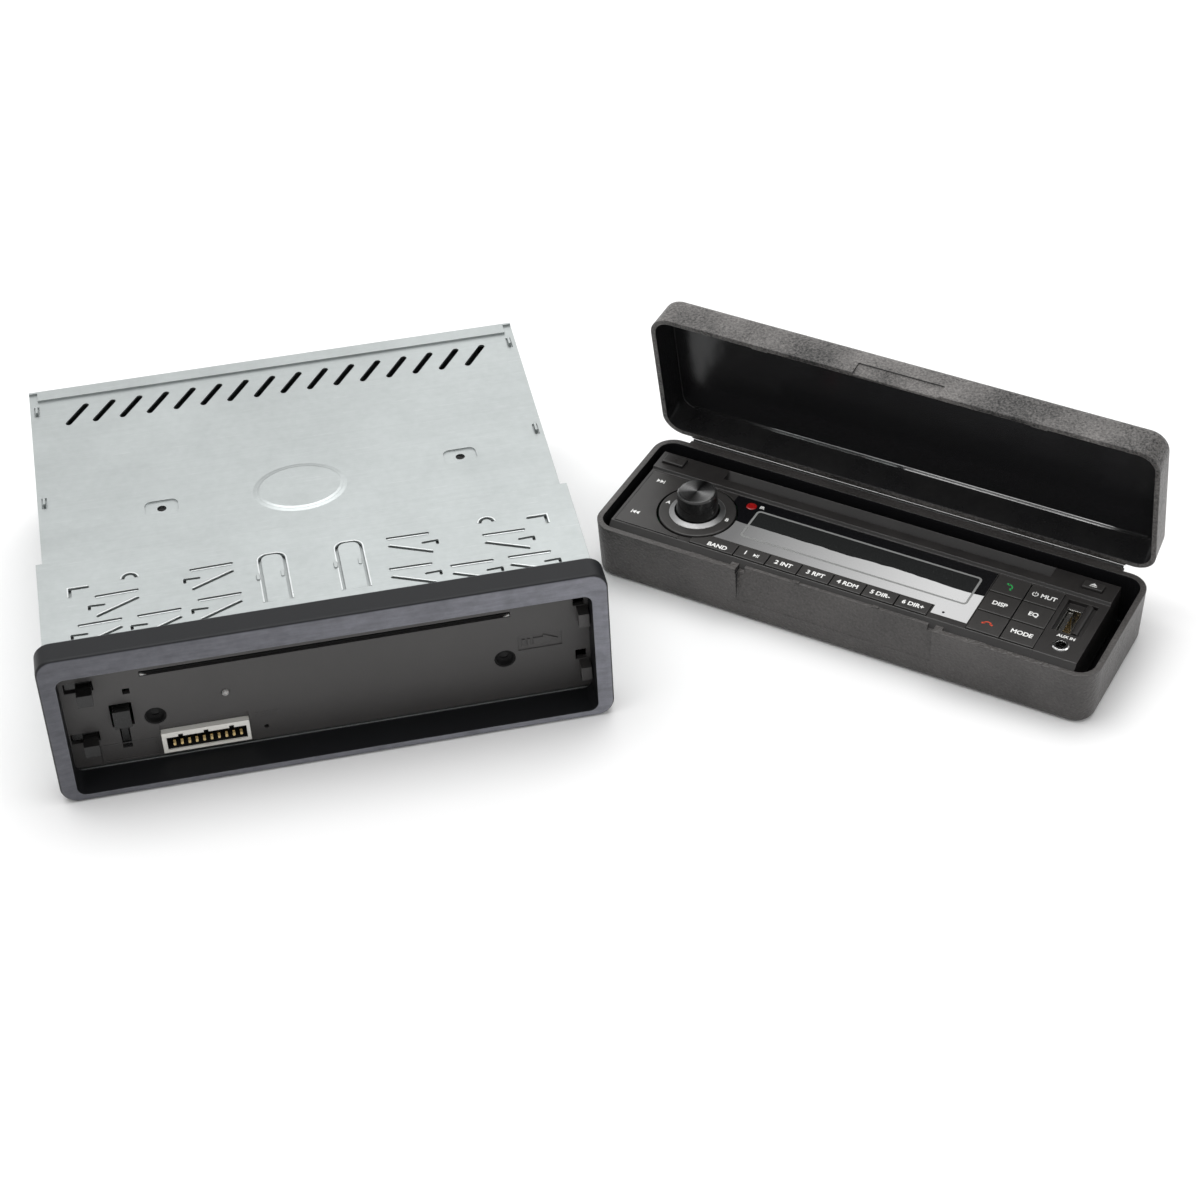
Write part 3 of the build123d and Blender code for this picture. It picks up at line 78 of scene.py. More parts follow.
# ================================================================ shader graphs
class Graph:
    """A shader node tree that is being filled."""

    def __init__(self, tree: bpy.types.NodeTree) -> None:
        """Opens a tree.

        Args:
            tree: the material's or the group's node tree.
        """
        self.tree = tree

    def add(self, kind: str, **settings: object) -> bpy.types.Node:
        """Adds a node.

        Args:
            kind: the node's type name.
            settings: values for the node's own properties.

        Returns:
            The new node.
        """
        node = self.tree.nodes.new(kind)
        for name, value in settings.items():
            setattr(node, name, value)
        return node

    def feed(self, socket: Socket, source: object) -> None:
        """Links a socket to an output, or sets its value.

        Args:
            socket: the input to feed.
            source: an output socket, a number or a tuple.
        """
        if isinstance(source, bpy.types.NodeSocket):
            self.tree.links.new(source, socket)
        else:
            socket.default_value = source

    def math(self, operation: str, *values: object) -> Socket:
        """Adds a Math node.

        Args:
            operation: the node's operation.
            values: one source for each input.

        Returns:
            Its result.
        """
        node = self.add("ShaderNodeMath", operation=operation)
        for socket, value in zip(node.inputs, values):
            self.feed(socket, value)
        return node.outputs[0]

    def vector(self, operation: str, *values: object) -> bpy.types.Node:
        """Adds a Vector Math node.

        Args:
            operation: the node's operation.
            values: one source for each input.

        Returns:
            The node, whose first output is a vector and second a number.
        """
        node = self.add("ShaderNodeVectorMath", operation=operation)
        for socket, value in zip(node.inputs, values):
            self.feed(socket, value)
        return node

    def scale(self, vector: object, factor: object) -> Socket:
        """Multiplies a vector or colour by a number.

        Args:
            vector: what is multiplied.
            factor: the number.

        Returns:
            The product.
        """
        node = self.add("ShaderNodeVectorMath", operation="SCALE")
        self.feed(node.inputs[0], vector)
        self.feed(node.inputs["Scale"], factor)
        return node.outputs[0]

    def mix(self, factor: object, low: object, high: object) -> Socket:
        """Blends two colours.

        Args:
            factor: 0 for the first colour, 1 for the second.
            low: the first colour.
            high: the second colour.

        Returns:
            The blend.
        """
        node = self.add("ShaderNodeMix", data_type="RGBA")
        colours = [(*c, 1.0) if isinstance(c, tuple) and len(c) == 3 else c for c in (low, high)]
        self.feed(node.inputs[0], factor)
        self.feed(node.inputs[6], colours[0])
        self.feed(node.inputs[7], colours[1])
        return node.outputs[2]

    def remap(self, value: object, low: float, high: float, to_low: object, to_high: object) -> Socket:
        """Maps a range of numbers onto another, clamped.

        Args:
            value: what is mapped.
            low: start of its range.
            high: end of its range.
            to_low: what the start becomes.
            to_high: what the end becomes.

        Returns:
            The mapped number.
        """
        node = self.add("ShaderNodeMapRange")
        for socket, source in zip(node.inputs, (value, low, high, to_low, to_high)):
            self.feed(socket, source)
        return node.outputs[0]

    def place(self) -> Socket:
        """Coordinates in the piece's own space, which stay with it as it moves."""
        return self.add("ShaderNodeTexCoord").outputs["Object"]

    def stretched(self, source: Socket, scale: Colour, turn: float = 0.0) -> Socket:
        """Turns coordinates about Z and stretches them.

        Args:
            source: the coordinates.
            scale: factors along each axis.
            turn: the angle, in degrees.

        Returns:
            The new coordinates.
        """
        node = self.add("ShaderNodeMapping")
        self.feed(node.inputs["Vector"], source)
        node.inputs["Rotation"].default_value = (0.0, 0.0, math.radians(turn))
        node.inputs["Scale"].default_value = scale
        return node.outputs[0]

    def noise(self, vector: Socket, scale: object, detail: float = 2.0, rough: float = 0.5) -> Socket:
        """Adds a noise texture.

        Args:
            vector: its coordinates.
            scale: waves per metre.
            detail: octaves.
            rough: weight of the finer octaves.

        Returns:
            The noise, about 0.5.
        """
        node = self.add("ShaderNodeTexNoise")
        self.feed(node.inputs["Vector"], vector)
        self.feed(node.inputs["Scale"], scale)
        node.inputs["Detail"].default_value = detail
        node.inputs["Roughness"].default_value = rough
        return node.outputs[0]

    def cells(self, vector: Socket, scale: object, feature: str = "F1") -> Socket:
        """Adds a Voronoi texture.

        Args:
            vector: its coordinates.
            scale: cells per metre.
            feature: which distance is used.

        Returns:
            The distance.
        """
        node = self.add("ShaderNodeTexVoronoi", feature=feature)
        self.feed(node.inputs["Vector"], vector)
        self.feed(node.inputs["Scale"], scale)
        return node.outputs["Distance"]


class Effect(Enum):
    """The surface effects that several finishes share, each one a node group."""

    GRAIN = "moulded_grain"
    EDGES = "worn_and_highlit_edges"
    DUST = "settled_dust"
    SHEET = "rolled_sheet"
    HANDLING = "handled_surface"
    SHELL = "shell_side"


class Effects:
    """Builds each shared effect once and places it in materials."""

    def __init__(self) -> None:
        """Starts with no group built."""
        self.groups: dict[Effect, bpy.types.NodeTree] = {}

    def use(self, graph: Graph, effect: Effect, **values: object) -> bpy.types.Node:
        """Places an effect in a material.

        Args:
            graph: the material's graph.
            effect: which effect.
            values: its named inputs, with _ for a space.

        Returns:
            The group node.
        """
        if effect not in self.groups:
            self.groups[effect] = getattr(self, effect.value)()
        node = graph.add("ShaderNodeGroup", node_tree=self.groups[effect])
        for name, value in values.items():
            graph.feed(node.inputs[name.replace("_", " ")], value)
        return node

    @staticmethod
    def start(effect: Effect, inputs: dict[str, object], outputs: dict[str, str]) -> tuple[Graph, dict, dict]:
        """Starts a group with its sockets.

        Args:
            effect: which effect it is.
            inputs: name and default of each input.
            outputs: name and kind of each output.

        Returns:
            The graph, its inputs and its outputs by name.
        """
        tree = bpy.data.node_groups.new(effect.value, "ShaderNodeTree")
        for name, default in inputs.items():
            kind = "NodeSocketVector" if isinstance(default, tuple) else "NodeSocketFloat"
            socket = tree.interface.new_socket(name, in_out="INPUT", socket_type=kind)
            socket.default_value = default
        for name, kind in outputs.items():
            tree.interface.new_socket(name, in_out="OUTPUT", socket_type=kind)
        graph = Graph(tree)
        entry = graph.add("NodeGroupInput")
        leave = graph.add("NodeGroupOutput")
        given = {socket.name: socket for socket in entry.outputs if socket.name}
        put = {socket.name: socket for socket in leave.inputs if socket.name}
        return graph, given, put

    def moulded_grain(self) -> bpy.types.NodeTree:
        """Spark-eroded texture of a moulding: a bump height and a slow change of tone."""
        graph, given, put = self.start(
            Effect.GRAIN,
            {"Scale": 2500.0, "Patch Scale": 40.0, "Tone Change": 0.1},
            {"Height": "NodeSocketFloat", "Tone": "NodeSocketFloat"},
        )
        place = graph.place()
        fine = graph.noise(place, given["Scale"], 2.0, 0.6)
        pits = graph.cells(place, graph.math("MULTIPLY", given["Scale"], 0.6), "SMOOTH_F1")
        graph.feed(put["Height"], graph.math("ADD", fine, graph.math("MULTIPLY", pits, 0.7)))
        slow = graph.noise(place, given["Patch Scale"], 3.0)
        swing = graph.math("MULTIPLY", graph.math("SUBTRACT", slow, 0.5), 4.0)
        speck = graph.math("MULTIPLY", graph.math("SUBTRACT", fine, 0.5), 4.0)
        both = graph.math("ADD", swing, speck)
        graph.feed(put["Tone"], graph.math("MULTIPLY_ADD", both, given["Tone Change"], 1.0))
        return graph.tree

    def worn_and_highlit_edges(self) -> bpy.types.NodeTree:
        """Rounded edges: the rounded normal, and a broken mask of the edges, which the finishes paint lighter,
        partly as rubbed wear and partly as painted highlight.
        """
        graph, given, put = self.start(
            Effect.EDGES,
            {"Radius": 0.0003, "Breakup": 300.0},
            {"Mask": "NodeSocketFloat", "Normal": "NodeSocketVector"},
        )
        bevel = graph.add("ShaderNodeBevel", samples=4)
        graph.feed(bevel.inputs["Radius"], given["Radius"])
        flat = graph.add("ShaderNodeNewGeometry").outputs["Normal"]
        turn = graph.vector("DOT_PRODUCT", bevel.outputs[0], flat).outputs[1]
        edge = graph.remap(turn, 0.995, 0.93, 0.0, 1.0)
        chips = graph.remap(graph.noise(graph.place(), given["Breakup"], 3.0, 0.7), 0.35, 0.65, 0.25, 1.0)
        graph.feed(put["Mask"], graph.math("MULTIPLY", edge, chips))
        graph.feed(put["Normal"], bevel.outputs[0])
        return graph.tree

    def settled_dust(self) -> bpy.types.NodeTree:
        """A thin film and specks of dust on what faces up."""
        graph, given, put = self.start(
            Effect.DUST, {"Amount": 0.1, "Scale": 900.0}, {"Mask": "NodeSocketFloat"}
        )
        place = graph.place()
        facing = graph.add("ShaderNodeSeparateXYZ")
        graph.feed(facing.inputs[0], graph.add("ShaderNodeTexCoord").outputs["Normal"])
        up = graph.remap(facing.outputs[2], 0.3, 0.95, 0.0, 1.0)
        film = graph.remap(graph.noise(place, 60.0, 4.0, 0.65), 0.4, 0.75, 0.1, 0.6)
        specks = graph.remap(graph.cells(place, given["Scale"]), 0.16, 0.08, 0.0, 1.0)
        rare = graph.remap(graph.noise(place, 220.0, 1.0), 0.58, 0.7, 0.0, 1.0)
        grit = graph.math("MULTIPLY", specks, rare)
        total = graph.math("MULTIPLY", graph.math("ADD", film, grit), up)
        graph.feed(put["Mask"], graph.math("MULTIPLY", total, given["Amount"]))
        return graph.tree

    def rolled_sheet(self) -> bpy.types.NodeTree:
        """Plated sheet: faint rolling lines, soft mottling and fine scratches."""
        graph, given, put = self.start(
            Effect.SHEET,
            {"Line Scale": 1.0, "Mottle Scale": 350.0},
            {"Tone": "NodeSocketFloat", "Height": "NodeSocketFloat", "Scratch": "NodeSocketFloat"},
        )
        place = graph.place()
        lines = graph.noise(graph.stretched(place, (12.0, 1800.0, 900.0)), given["Line Scale"], 3.0, 0.6)
        mottle = graph.noise(place, given["Mottle Scale"], 3.0, 0.6)
        cloud = graph.noise(place, 22.0, 3.0, 0.55)
        tone = graph.math("MULTIPLY_ADD", graph.math("SUBTRACT", lines, 0.5), 0.12, 1.0)
        tone = graph.math("MULTIPLY_ADD", graph.math("SUBTRACT", mottle, 0.5), 0.16, tone)
        tone = graph.math("MULTIPLY_ADD", graph.math("SUBTRACT", cloud, 0.5), 0.20, tone)
        graph.feed(put["Tone"], tone)
        graph.feed(put["Height"], graph.math("ADD", lines, graph.math("MULTIPLY", mottle, 0.8)))
        marks = None
        for turn, shift in ((17.0, 60.0), (-38.0, 45.0), (71.0, 80.0)):
            streak = graph.noise(graph.stretched(place, (shift, 2600.0, 2600.0), turn), 1.0, 1.0)
            line = graph.remap(streak, 0.735, 0.76, 0.0, 1.0)
            marks = line if marks is None else graph.math("MAXIMUM", marks, line)
        graph.feed(put["Scratch"], marks)
        return graph.tree

    def handled_surface(self) -> bpy.types.NodeTree:
        """Roughness that changes where hands and cloths have been."""
        graph, given, put = self.start(
            Effect.HANDLING,
            {"Scale": 60.0, "Roughness": 0.4, "Change": 0.1},
            {"Roughness": "NodeSocketFloat"},
        )
        place = graph.place()
        smears = graph.noise(graph.stretched(place, (1.0, 2.2, 1.0), 30.0), given["Scale"], 4.0, 0.6)
        swing = graph.math("SUBTRACT", smears, 0.5)
        rough = graph.math("MULTIPLY_ADD", swing, given["Change"], given["Roughness"])
        graph.feed(put["Roughness"], rough)
        return graph.tree

    def shell_side(self) -> bpy.types.NodeTree:
        """1 on the inside of a hollow shell and 0 on its outside, from where its middle is."""
        graph, given, put = self.start(
            Effect.SHELL, {"Middle": (0.0, 0.0, 0.0)}, {"Inside": "NodeSocketFloat"}
        )
        away = graph.vector("SUBTRACT", graph.place(), given["Middle"]).outputs[0]
        facing = graph.add("ShaderNodeTexCoord").outputs["Normal"]
        side = graph.vector("DOT_PRODUCT", away, facing).outputs[1]
        graph.feed(put["Inside"], graph.math("LESS_THAN", side, 0.0))
        return graph.tree


effects = Effects()


# ================================================================ finishes
@dataclass(frozen=True)
class Finish:
    """A procedural finish, made once as a material."""

    name: str
    slot: str
    colour: Colour
    roughness: float = 0.4

    def material(self) -> bpy.types.Material:
        """The finish as a material, built when first asked for."""
        found = bpy.data.materials.get(self.name)
        if found:
            return found
        made = bpy.data.materials.new(self.name)
        made.use_nodes = True
        graph = Graph(made.node_tree)
        shader = made.node_tree.nodes["Principled BSDF"]
        self.shade(graph, shader)
        return made

    def shade(self, graph: Graph, shader: bpy.types.Node) -> None:
        """Fills the material.

        Args:
            graph: its graph.
            shader: its Principled node.
        """
        raise NotImplementedError

    def on(self, piece: bpy.types.Object) -> bpy.types.Object:
        """Puts the finish on a piece.

        Args:
            piece: a CAD node or a new piece.

        Returns:
            The piece.
        """
        if piece.material_slots:
            piece.material_slots[0].material = self.material()
        else:
            piece.data.materials.append(self.material())
        return piece


@dataclass(frozen=True)
class Plastic(Finish):
    """A moulded plastic with its mould texture, rounded edges painted lighter (partly wear, partly painted
    highlight), a little dust, and an optional painted sheen on its front.
    """

    grain_scale: float = 3000.0
    grain_height: float = 0.00002
    tone_change: float = 0.06
    edge_radius: float = 0.0003
    edge_wear_and_highlight_colour: Colour = (0.16, 0.16, 0.16)
    edge_share: float = 0.35
    dust: float = 0.05
    coat: float = 0.0
    specular: float = 0.5
    ior: float = 1.5
    front_sheen_colour: Colour = (0.0, 0.0, 0.0)
    front_sheen_share: float = 0.0

    def shade(self, graph: Graph, shader: bpy.types.Node) -> None:
        """Moulded plastic.

        Args:
            graph: its graph.
            shader: its Principled node.
        """
        grain = effects.use(graph, Effect.GRAIN, Scale=self.grain_scale, Tone_Change=self.tone_change)
        edges = effects.use(graph, Effect.EDGES, Radius=self.edge_radius)
        dust = effects.use(graph, Effect.DUST, Amount=self.dust)
        hands = effects.use(graph, Effect.HANDLING, Roughness=self.roughness, Change=0.12)
        colour = self.colour
        # The lighter front colour is a painted sheen, painted lighter to the right: painted light, not a paint
        # finish.
        if self.front_sheen_share:
            colour = self.painted_front_sheen(graph)
        colour = graph.scale(colour, grain.outputs["Tone"])
        # Edges painted lighter: partly wear, partly painted highlight.
        edge_light_and_wear = graph.math("MULTIPLY", edges.outputs["Mask"], self.edge_share)
        colour = graph.mix(edge_light_and_wear, colour, self.edge_wear_and_highlight_colour)
        colour = graph.mix(dust.outputs["Mask"], colour, DUST_COLOUR)
        graph.feed(shader.inputs["Base Color"], colour)
        graph.feed(shader.inputs["Roughness"], hands.outputs["Roughness"])
        shader.inputs["Specular IOR Level"].default_value = self.specular
        shader.inputs["IOR"].default_value = self.ior
        bump = graph.add("ShaderNodeBump")
        bump.inputs["Distance"].default_value = self.grain_height
        graph.feed(bump.inputs["Height"], grain.outputs["Height"])
        graph.feed(bump.inputs["Normal"], edges.outputs["Normal"])
        graph.feed(shader.inputs["Normal"], bump.outputs[0])
        shader.inputs["Coat Weight"].default_value = self.coat
        shader.inputs["Coat Roughness"].default_value = 0.08

    def painted_front_sheen(self, graph: Graph) -> Socket:
        """Painted sheen on what faces the driver: a lighter colour, streaked along X, that stands in for the
        reflection of the floor and is painted lighter to the right.

        Args:
            graph: the material's graph.

        Returns:
            The colour.
        """
        place = graph.place()
        split = graph.add("ShaderNodeSeparateXYZ")
        graph.feed(split.inputs[0], graph.add("ShaderNodeTexCoord").outputs["Normal"])
        front = graph.remap(graph.math("MULTIPLY", split.outputs[1], -1.0), 0.72, 0.93, 0.0, self.front_sheen_share)
        streaks = graph.noise(graph.stretched(place, (60.0, 400.0, 500.0)), 1.0, 4.0, 0.7)
        clouds = graph.noise(place, 260.0, 3.0, 0.6)
        blend = graph.math("ADD", graph.math("MULTIPLY", streaks, 0.6), graph.math("MULTIPLY", clouds, 0.4))
        tone = graph.remap(blend, 0.3, 0.7, 0.72, 1.28)
        # Painted light: the front colour is made lighter towards +X.
        across = graph.add("ShaderNodeSeparateXYZ")
        graph.feed(across.inputs[0], place)
        side = graph.remap(across.outputs[0], -0.09, 0.09, 0.8, 1.5)
        painted = graph.scale(self.front_sheen_colour, graph.math("MULTIPLY", tone, side))
        return graph.mix(front, self.colour, painted)


@dataclass(frozen=True)
class ShellPlastic(Plastic):
    """Case plastic: coarse texture outside, polished inside."""

    middle: Colour = (0.0, 0.0, 0.0)
    inner_roughness: float = 0.22
    inner_colour: Colour = (0.012, 0.012, 0.013)

    def shade(self, graph: Graph, shader: bpy.types.Node) -> None:
        """Coarse outside, polished inside.

        Args:
            graph: its graph.
            shader: its Principled node.
        """
        shell = effects.use(graph, Effect.SHELL, Middle=self.middle)
        inside = shell.outputs["Inside"]
        grain = effects.use(graph, Effect.GRAIN, Scale=self.grain_scale, Tone_Change=self.tone_change)
        edges = effects.use(graph, Effect.EDGES, Radius=self.edge_radius)
        hands = effects.use(graph, Effect.HANDLING, Roughness=self.roughness, Change=0.10)
        polish = effects.use(graph, Effect.HANDLING, Roughness=self.inner_roughness, Change=0.12)
        dust = effects.use(graph, Effect.DUST, Amount=self.dust)
        colour = graph.scale(self.colour, grain.outputs["Tone"])
        colour = graph.mix(inside, colour, self.inner_colour)
        # Edges painted lighter: partly wear, partly painted highlight.
        edge_light_and_wear = graph.math("MULTIPLY", edges.outputs["Mask"], self.edge_share)
        colour = graph.mix(edge_light_and_wear, colour, self.edge_wear_and_highlight_colour)
        colour = graph.mix(dust.outputs["Mask"], colour, DUST_COLOUR)
        graph.feed(shader.inputs["Base Color"], colour)
        rough = graph.remap(inside, 0.0, 1.0, hands.outputs["Roughness"], polish.outputs["Roughness"])
        graph.feed(shader.inputs["Roughness"], rough)
        ripple = graph.math("MULTIPLY", graph.noise(graph.place(), 70.0, 2.0), 0.5)
        outside = graph.math("SUBTRACT", 1.0, inside)
        coarse = graph.math("MULTIPLY", grain.outputs["Height"], outside)
        height = graph.math("ADD", coarse, graph.math("MULTIPLY", ripple, inside))
        bump = graph.add("ShaderNodeBump")
        bump.inputs["Distance"].default_value = self.grain_height
        graph.feed(bump.inputs["Height"], height)
        graph.feed(bump.inputs["Normal"], edges.outputs["Normal"])
        graph.feed(shader.inputs["Normal"], bump.outputs[0])


@dataclass(frozen=True)
class SheetMetal(Finish):
    """Plated or extruded metal with rolling lines, mottling, scratches, and edges painted bright, partly as wear
    and partly as painted highlight.
    """

    line_height: float = 0.000004
    edge_radius: float = 0.0002
    edge_wear_and_highlight_colour: Colour = (0.86, 0.87, 0.87)
    scratch_share: float = 0.25
    stain: Colour = (0.46, 0.48, 0.47)

    def shade(self, graph: Graph, shader: bpy.types.Node) -> None:
        """Metal sheet.

        Args:
            graph: its graph.
            shader: its Principled node.
        """
        sheet = effects.use(graph, Effect.SHEET)
        edges = effects.use(graph, Effect.EDGES, Radius=self.edge_radius, Breakup=500.0)
        hands = effects.use(graph, Effect.HANDLING, Scale=35.0, Roughness=self.roughness, Change=0.16)
        colour = graph.scale(self.colour, sheet.outputs["Tone"])
        cloudy = graph.remap(graph.noise(graph.place(), 55.0, 4.0, 0.62), 0.52, 0.8, 0.0, 0.35)
        colour = graph.mix(cloudy, colour, self.stain)
        scuffs = graph.math("MULTIPLY", sheet.outputs["Scratch"], self.scratch_share)
        colour = graph.mix(scuffs, colour, self.edge_wear_and_highlight_colour)
        # Edges painted bright: partly wear, partly painted highlight.
        colour = graph.mix(graph.math("MULTIPLY", edges.outputs["Mask"], 0.5), colour, self.edge_wear_and_highlight_colour)
        graph.feed(shader.inputs["Base Color"], colour)
        graph.feed(shader.inputs["Roughness"], hands.outputs["Roughness"])
        shader.inputs["Metallic"].default_value = 1.0
        bump = graph.add("ShaderNodeBump")
        bump.inputs["Distance"].default_value = self.line_height
        graph.feed(bump.inputs["Height"], sheet.outputs["Height"])
        graph.feed(bump.inputs["Normal"], edges.outputs["Normal"])
        graph.feed(shader.inputs["Normal"], bump.outputs[0])


@dataclass(frozen=True)
class SpunMetal(Finish):
    """Turned metal: fine rings about an axis, which stretch the highlights across them, and two bright
    wedge-shaped highlights painted into its colour.
    """

    centre: Colour = (0.0, 0.0, 0.0)
    ring_pitch: float = 0.00022
    highlight_wedge_turn: float = 2.4

    def shade(self, graph: Graph, shader: bpy.types.Node) -> None:
        """Turned metal.

        Args:
            graph: its graph.
            shader: its Principled node.
        """
        away = graph.vector("SUBTRACT", graph.place(), self.centre).outputs[0]
        flat = graph.vector("MULTIPLY", away, (1.0, 1.0, 0.0)).outputs[0]
        radius = graph.vector("LENGTH", flat).outputs[1]
        rings = graph.math("SINE", graph.math("MULTIPLY", radius, 2.0 * math.pi / self.ring_pitch))
        spread = graph.add("ShaderNodeCombineXYZ")
        graph.feed(spread.inputs[0], graph.math("MULTIPLY", radius, 9000.0))
        uneven = graph.noise(spread.outputs[0], 1.0, 2.0)
        tone = graph.math("MULTIPLY_ADD", graph.math("SUBTRACT", uneven, 0.5), 0.7, 1.0)
        # Painted highlight: two bright wedge-shaped sweeps about the axis, painted into the colour.
        parts = graph.add("ShaderNodeSeparateXYZ")
        graph.feed(parts.inputs[0], flat)
        turn = graph.math("ARCTAN2", parts.outputs[1], parts.outputs[0])
        sweep = graph.math("COSINE", graph.math("MULTIPLY_ADD", turn, 2.0, self.highlight_wedge_turn))
        painted_highlight_wedges = graph.remap(sweep, -0.6, 0.95, 0.35, 2.6)
        colour = graph.scale(self.colour, graph.math("MULTIPLY", tone, painted_highlight_wedges))
        graph.feed(shader.inputs["Base Color"], colour)
        rough = graph.remap(uneven, 0.3, 0.7, self.roughness - 0.06, self.roughness + 0.08)
        graph.feed(shader.inputs["Roughness"], rough)
        shader.inputs["Metallic"].default_value = 1.0
        shader.inputs["Anisotropic"].default_value = 0.85
        tangent = graph.add("ShaderNodeTangent", direction_type="RADIAL", axis="Z")
        graph.feed(shader.inputs["Tangent"], tangent.outputs[0])
        bump = graph.add("ShaderNodeBump")
        bump.inputs["Distance"].default_value = 0.000004
        graph.feed(bump.inputs["Height"], graph.math("ADD", rings, graph.math("MULTIPLY", uneven, 2.0)))
        graph.feed(shader.inputs["Normal"], bump.outputs[0])


@dataclass(frozen=True)
class DisplayGlass(Finish):
    """The dark polished window, bowed a little towards its front edge."""

    origin: Colour = (0.0, 0.0, 0.0)
    across: Colour = (0.0, 1.0, 0.0)
    along: Colour = (1.0, 0.0, 0.0)
    turn_line: float = -0.0012
    bow: float = 0.31
    cell_at: Point2 = (0.0005, -0.0011)
    cell_half: Point2 = (0.0428, 0.0073)

    def shade(self, graph: Graph, shader: bpy.types.Node) -> None:
        """Dark polished window.

        Args:
            graph: its graph.
            shader: its Principled node.
        """
        away = graph.vector("SUBTRACT", graph.place(), self.origin).outputs[0]
        v = graph.vector("DOT_PRODUCT", away, self.across).outputs[1]
        u = graph.vector("DOT_PRODUCT", away, self.along).outputs[1]
        waves = graph.noise(graph.place(), 75.0, 2.0)
        drift = graph.math("MULTIPLY_ADD", graph.math("SUBTRACT", waves, 0.5), 0.0022, v)
        tilt = graph.remap(drift, self.turn_line, self.turn_line - 0.001, 0.02, self.bow)
        lean = graph.scale(tuple(-c for c in self.across), tilt)
        flat = graph.add("ShaderNodeNewGeometry").outputs["Normal"]
        bent = graph.vector("NORMALIZE", graph.vector("ADD", flat, lean).outputs[0]).outputs[0]
        graph.feed(shader.inputs["Normal"], bent)
        cell_u = graph.math("ABSOLUTE", graph.math("SUBTRACT", u, self.cell_at[0]))
        cell_v = graph.math("ABSOLUTE", graph.math("SUBTRACT", v, self.cell_at[1]))
        in_u = graph.math("LESS_THAN", cell_u, self.cell_half[0])
        in_v = graph.math("LESS_THAN", cell_v, self.cell_half[1])
        inside = graph.math("MULTIPLY", in_u, in_v)
        lint = graph.remap(graph.cells(graph.place(), 700.0), 0.10, 0.05, 0.0, 0.3)
        colour = graph.mix(inside, self.colour, (0.018, 0.019, 0.019))
        patchy = graph.math("MULTIPLY", lint, graph.remap(waves, 0.55, 0.7, 0.0, 1.0))
        colour = graph.mix(patchy, colour, (0.3, 0.3, 0.3))
        graph.feed(shader.inputs["Base Color"], colour)
        hands = effects.use(graph, Effect.HANDLING, Scale=80.0, Roughness=self.roughness, Change=0.05)
        graph.feed(shader.inputs["Roughness"], hands.outputs["Roughness"])
        # Painted reflection: specular level and coat grow stronger towards +u, a painted left-to-right gradient of
        # reflection.
        graph.feed(shader.inputs["Specular IOR Level"], graph.remap(u, -0.045, 0.035, 0.35, 1.6))
        graph.feed(shader.inputs["Coat Weight"], graph.remap(u, -0.052, 0.02, 0.3, 1.0))
        shader.inputs["Coat Roughness"].default_value = 0.03
        graph.feed(shader.inputs["Coat Normal"], bent)


@dataclass(frozen=True)
class Print(Finish):
    """Pad-printed ink, a little uneven and rubbed."""

    def shade(self, graph: Graph, shader: bpy.types.Node) -> None:
        """Printed ink.

        Args:
            graph: its graph.
            shader: its Principled node.
        """
        place = graph.place()
        rub = graph.remap(graph.noise(place, 2600.0, 3.0, 0.7), 0.3, 0.62, 0.78, 1.05)
        graph.feed(shader.inputs["Base Color"], graph.scale(self.colour, rub))
        hands = effects.use(graph, Effect.HANDLING, Roughness=self.roughness, Change=0.15)
        graph.feed(shader.inputs["Roughness"], hands.outputs["Roughness"])


@dataclass(frozen=True)
class CircuitBoard(Finish):
    """Solder-resist board with traces and tinned pads under the lacquer."""

    def shade(self, graph: Graph, shader: bpy.types.Node) -> None:
        """Circuit board.

        Args:
            graph: its graph.
            shader: its Principled node.
        """
        place = graph.place()
        tracks = graph.cells(graph.stretched(place, (1.0, 0.25, 1.0), 45.0), 600.0, "DISTANCE_TO_EDGE")
        line = graph.remap(tracks, 0.06, 0.1, 1.0, 0.0)
        pads = graph.remap(graph.cells(place, 420.0), 0.22, 0.18, 0.0, 1.0)
        colour = graph.mix(line, self.colour, tuple(2.2 * c for c in self.colour))
        colour = graph.mix(pads, colour, (0.55, 0.55, 0.53))
        graph.feed(shader.inputs["Base Color"], colour)
        hands = effects.use(graph, Effect.HANDLING, Roughness=self.roughness, Change=0.1)
        graph.feed(shader.inputs["Roughness"], hands.outputs["Roughness"])
        bump = graph.add("ShaderNodeBump")
        bump.inputs["Distance"].default_value = 0.00004
        graph.feed(bump.inputs["Height"], graph.math("MAXIMUM", line, pads))
        graph.feed(shader.inputs["Normal"], bump.outputs[0])


@dataclass(frozen=True)
class Lens(Finish):
    """A small moulded lens: clear coat over a deep tinted body with faint flow lines."""

    def shade(self, graph: Graph, shader: bpy.types.Node) -> None:
        """Tinted lens.

        Args:
            graph: its graph.
            shader: its Principled node.
        """
        depth = graph.cells(graph.place(), 1500.0, "SMOOTH_F1")
        tint = graph.scale(self.colour, graph.remap(depth, 0.1, 0.7, 0.6, 1.5))
        graph.feed(shader.inputs["Base Color"], tint)
        hands = effects.use(graph, Effect.HANDLING, Roughness=self.roughness, Change=0.05)
        graph.feed(shader.inputs["Roughness"], hands.outputs["Roughness"])
        shader.inputs["Coat Weight"].default_value = 1.0
        shader.inputs["Coat Roughness"].default_value = 0.05
        shader.inputs["Subsurface Weight"].default_value = 0.2
        shader.inputs["Subsurface Radius"].default_value = (0.002, 0.001, 0.001)


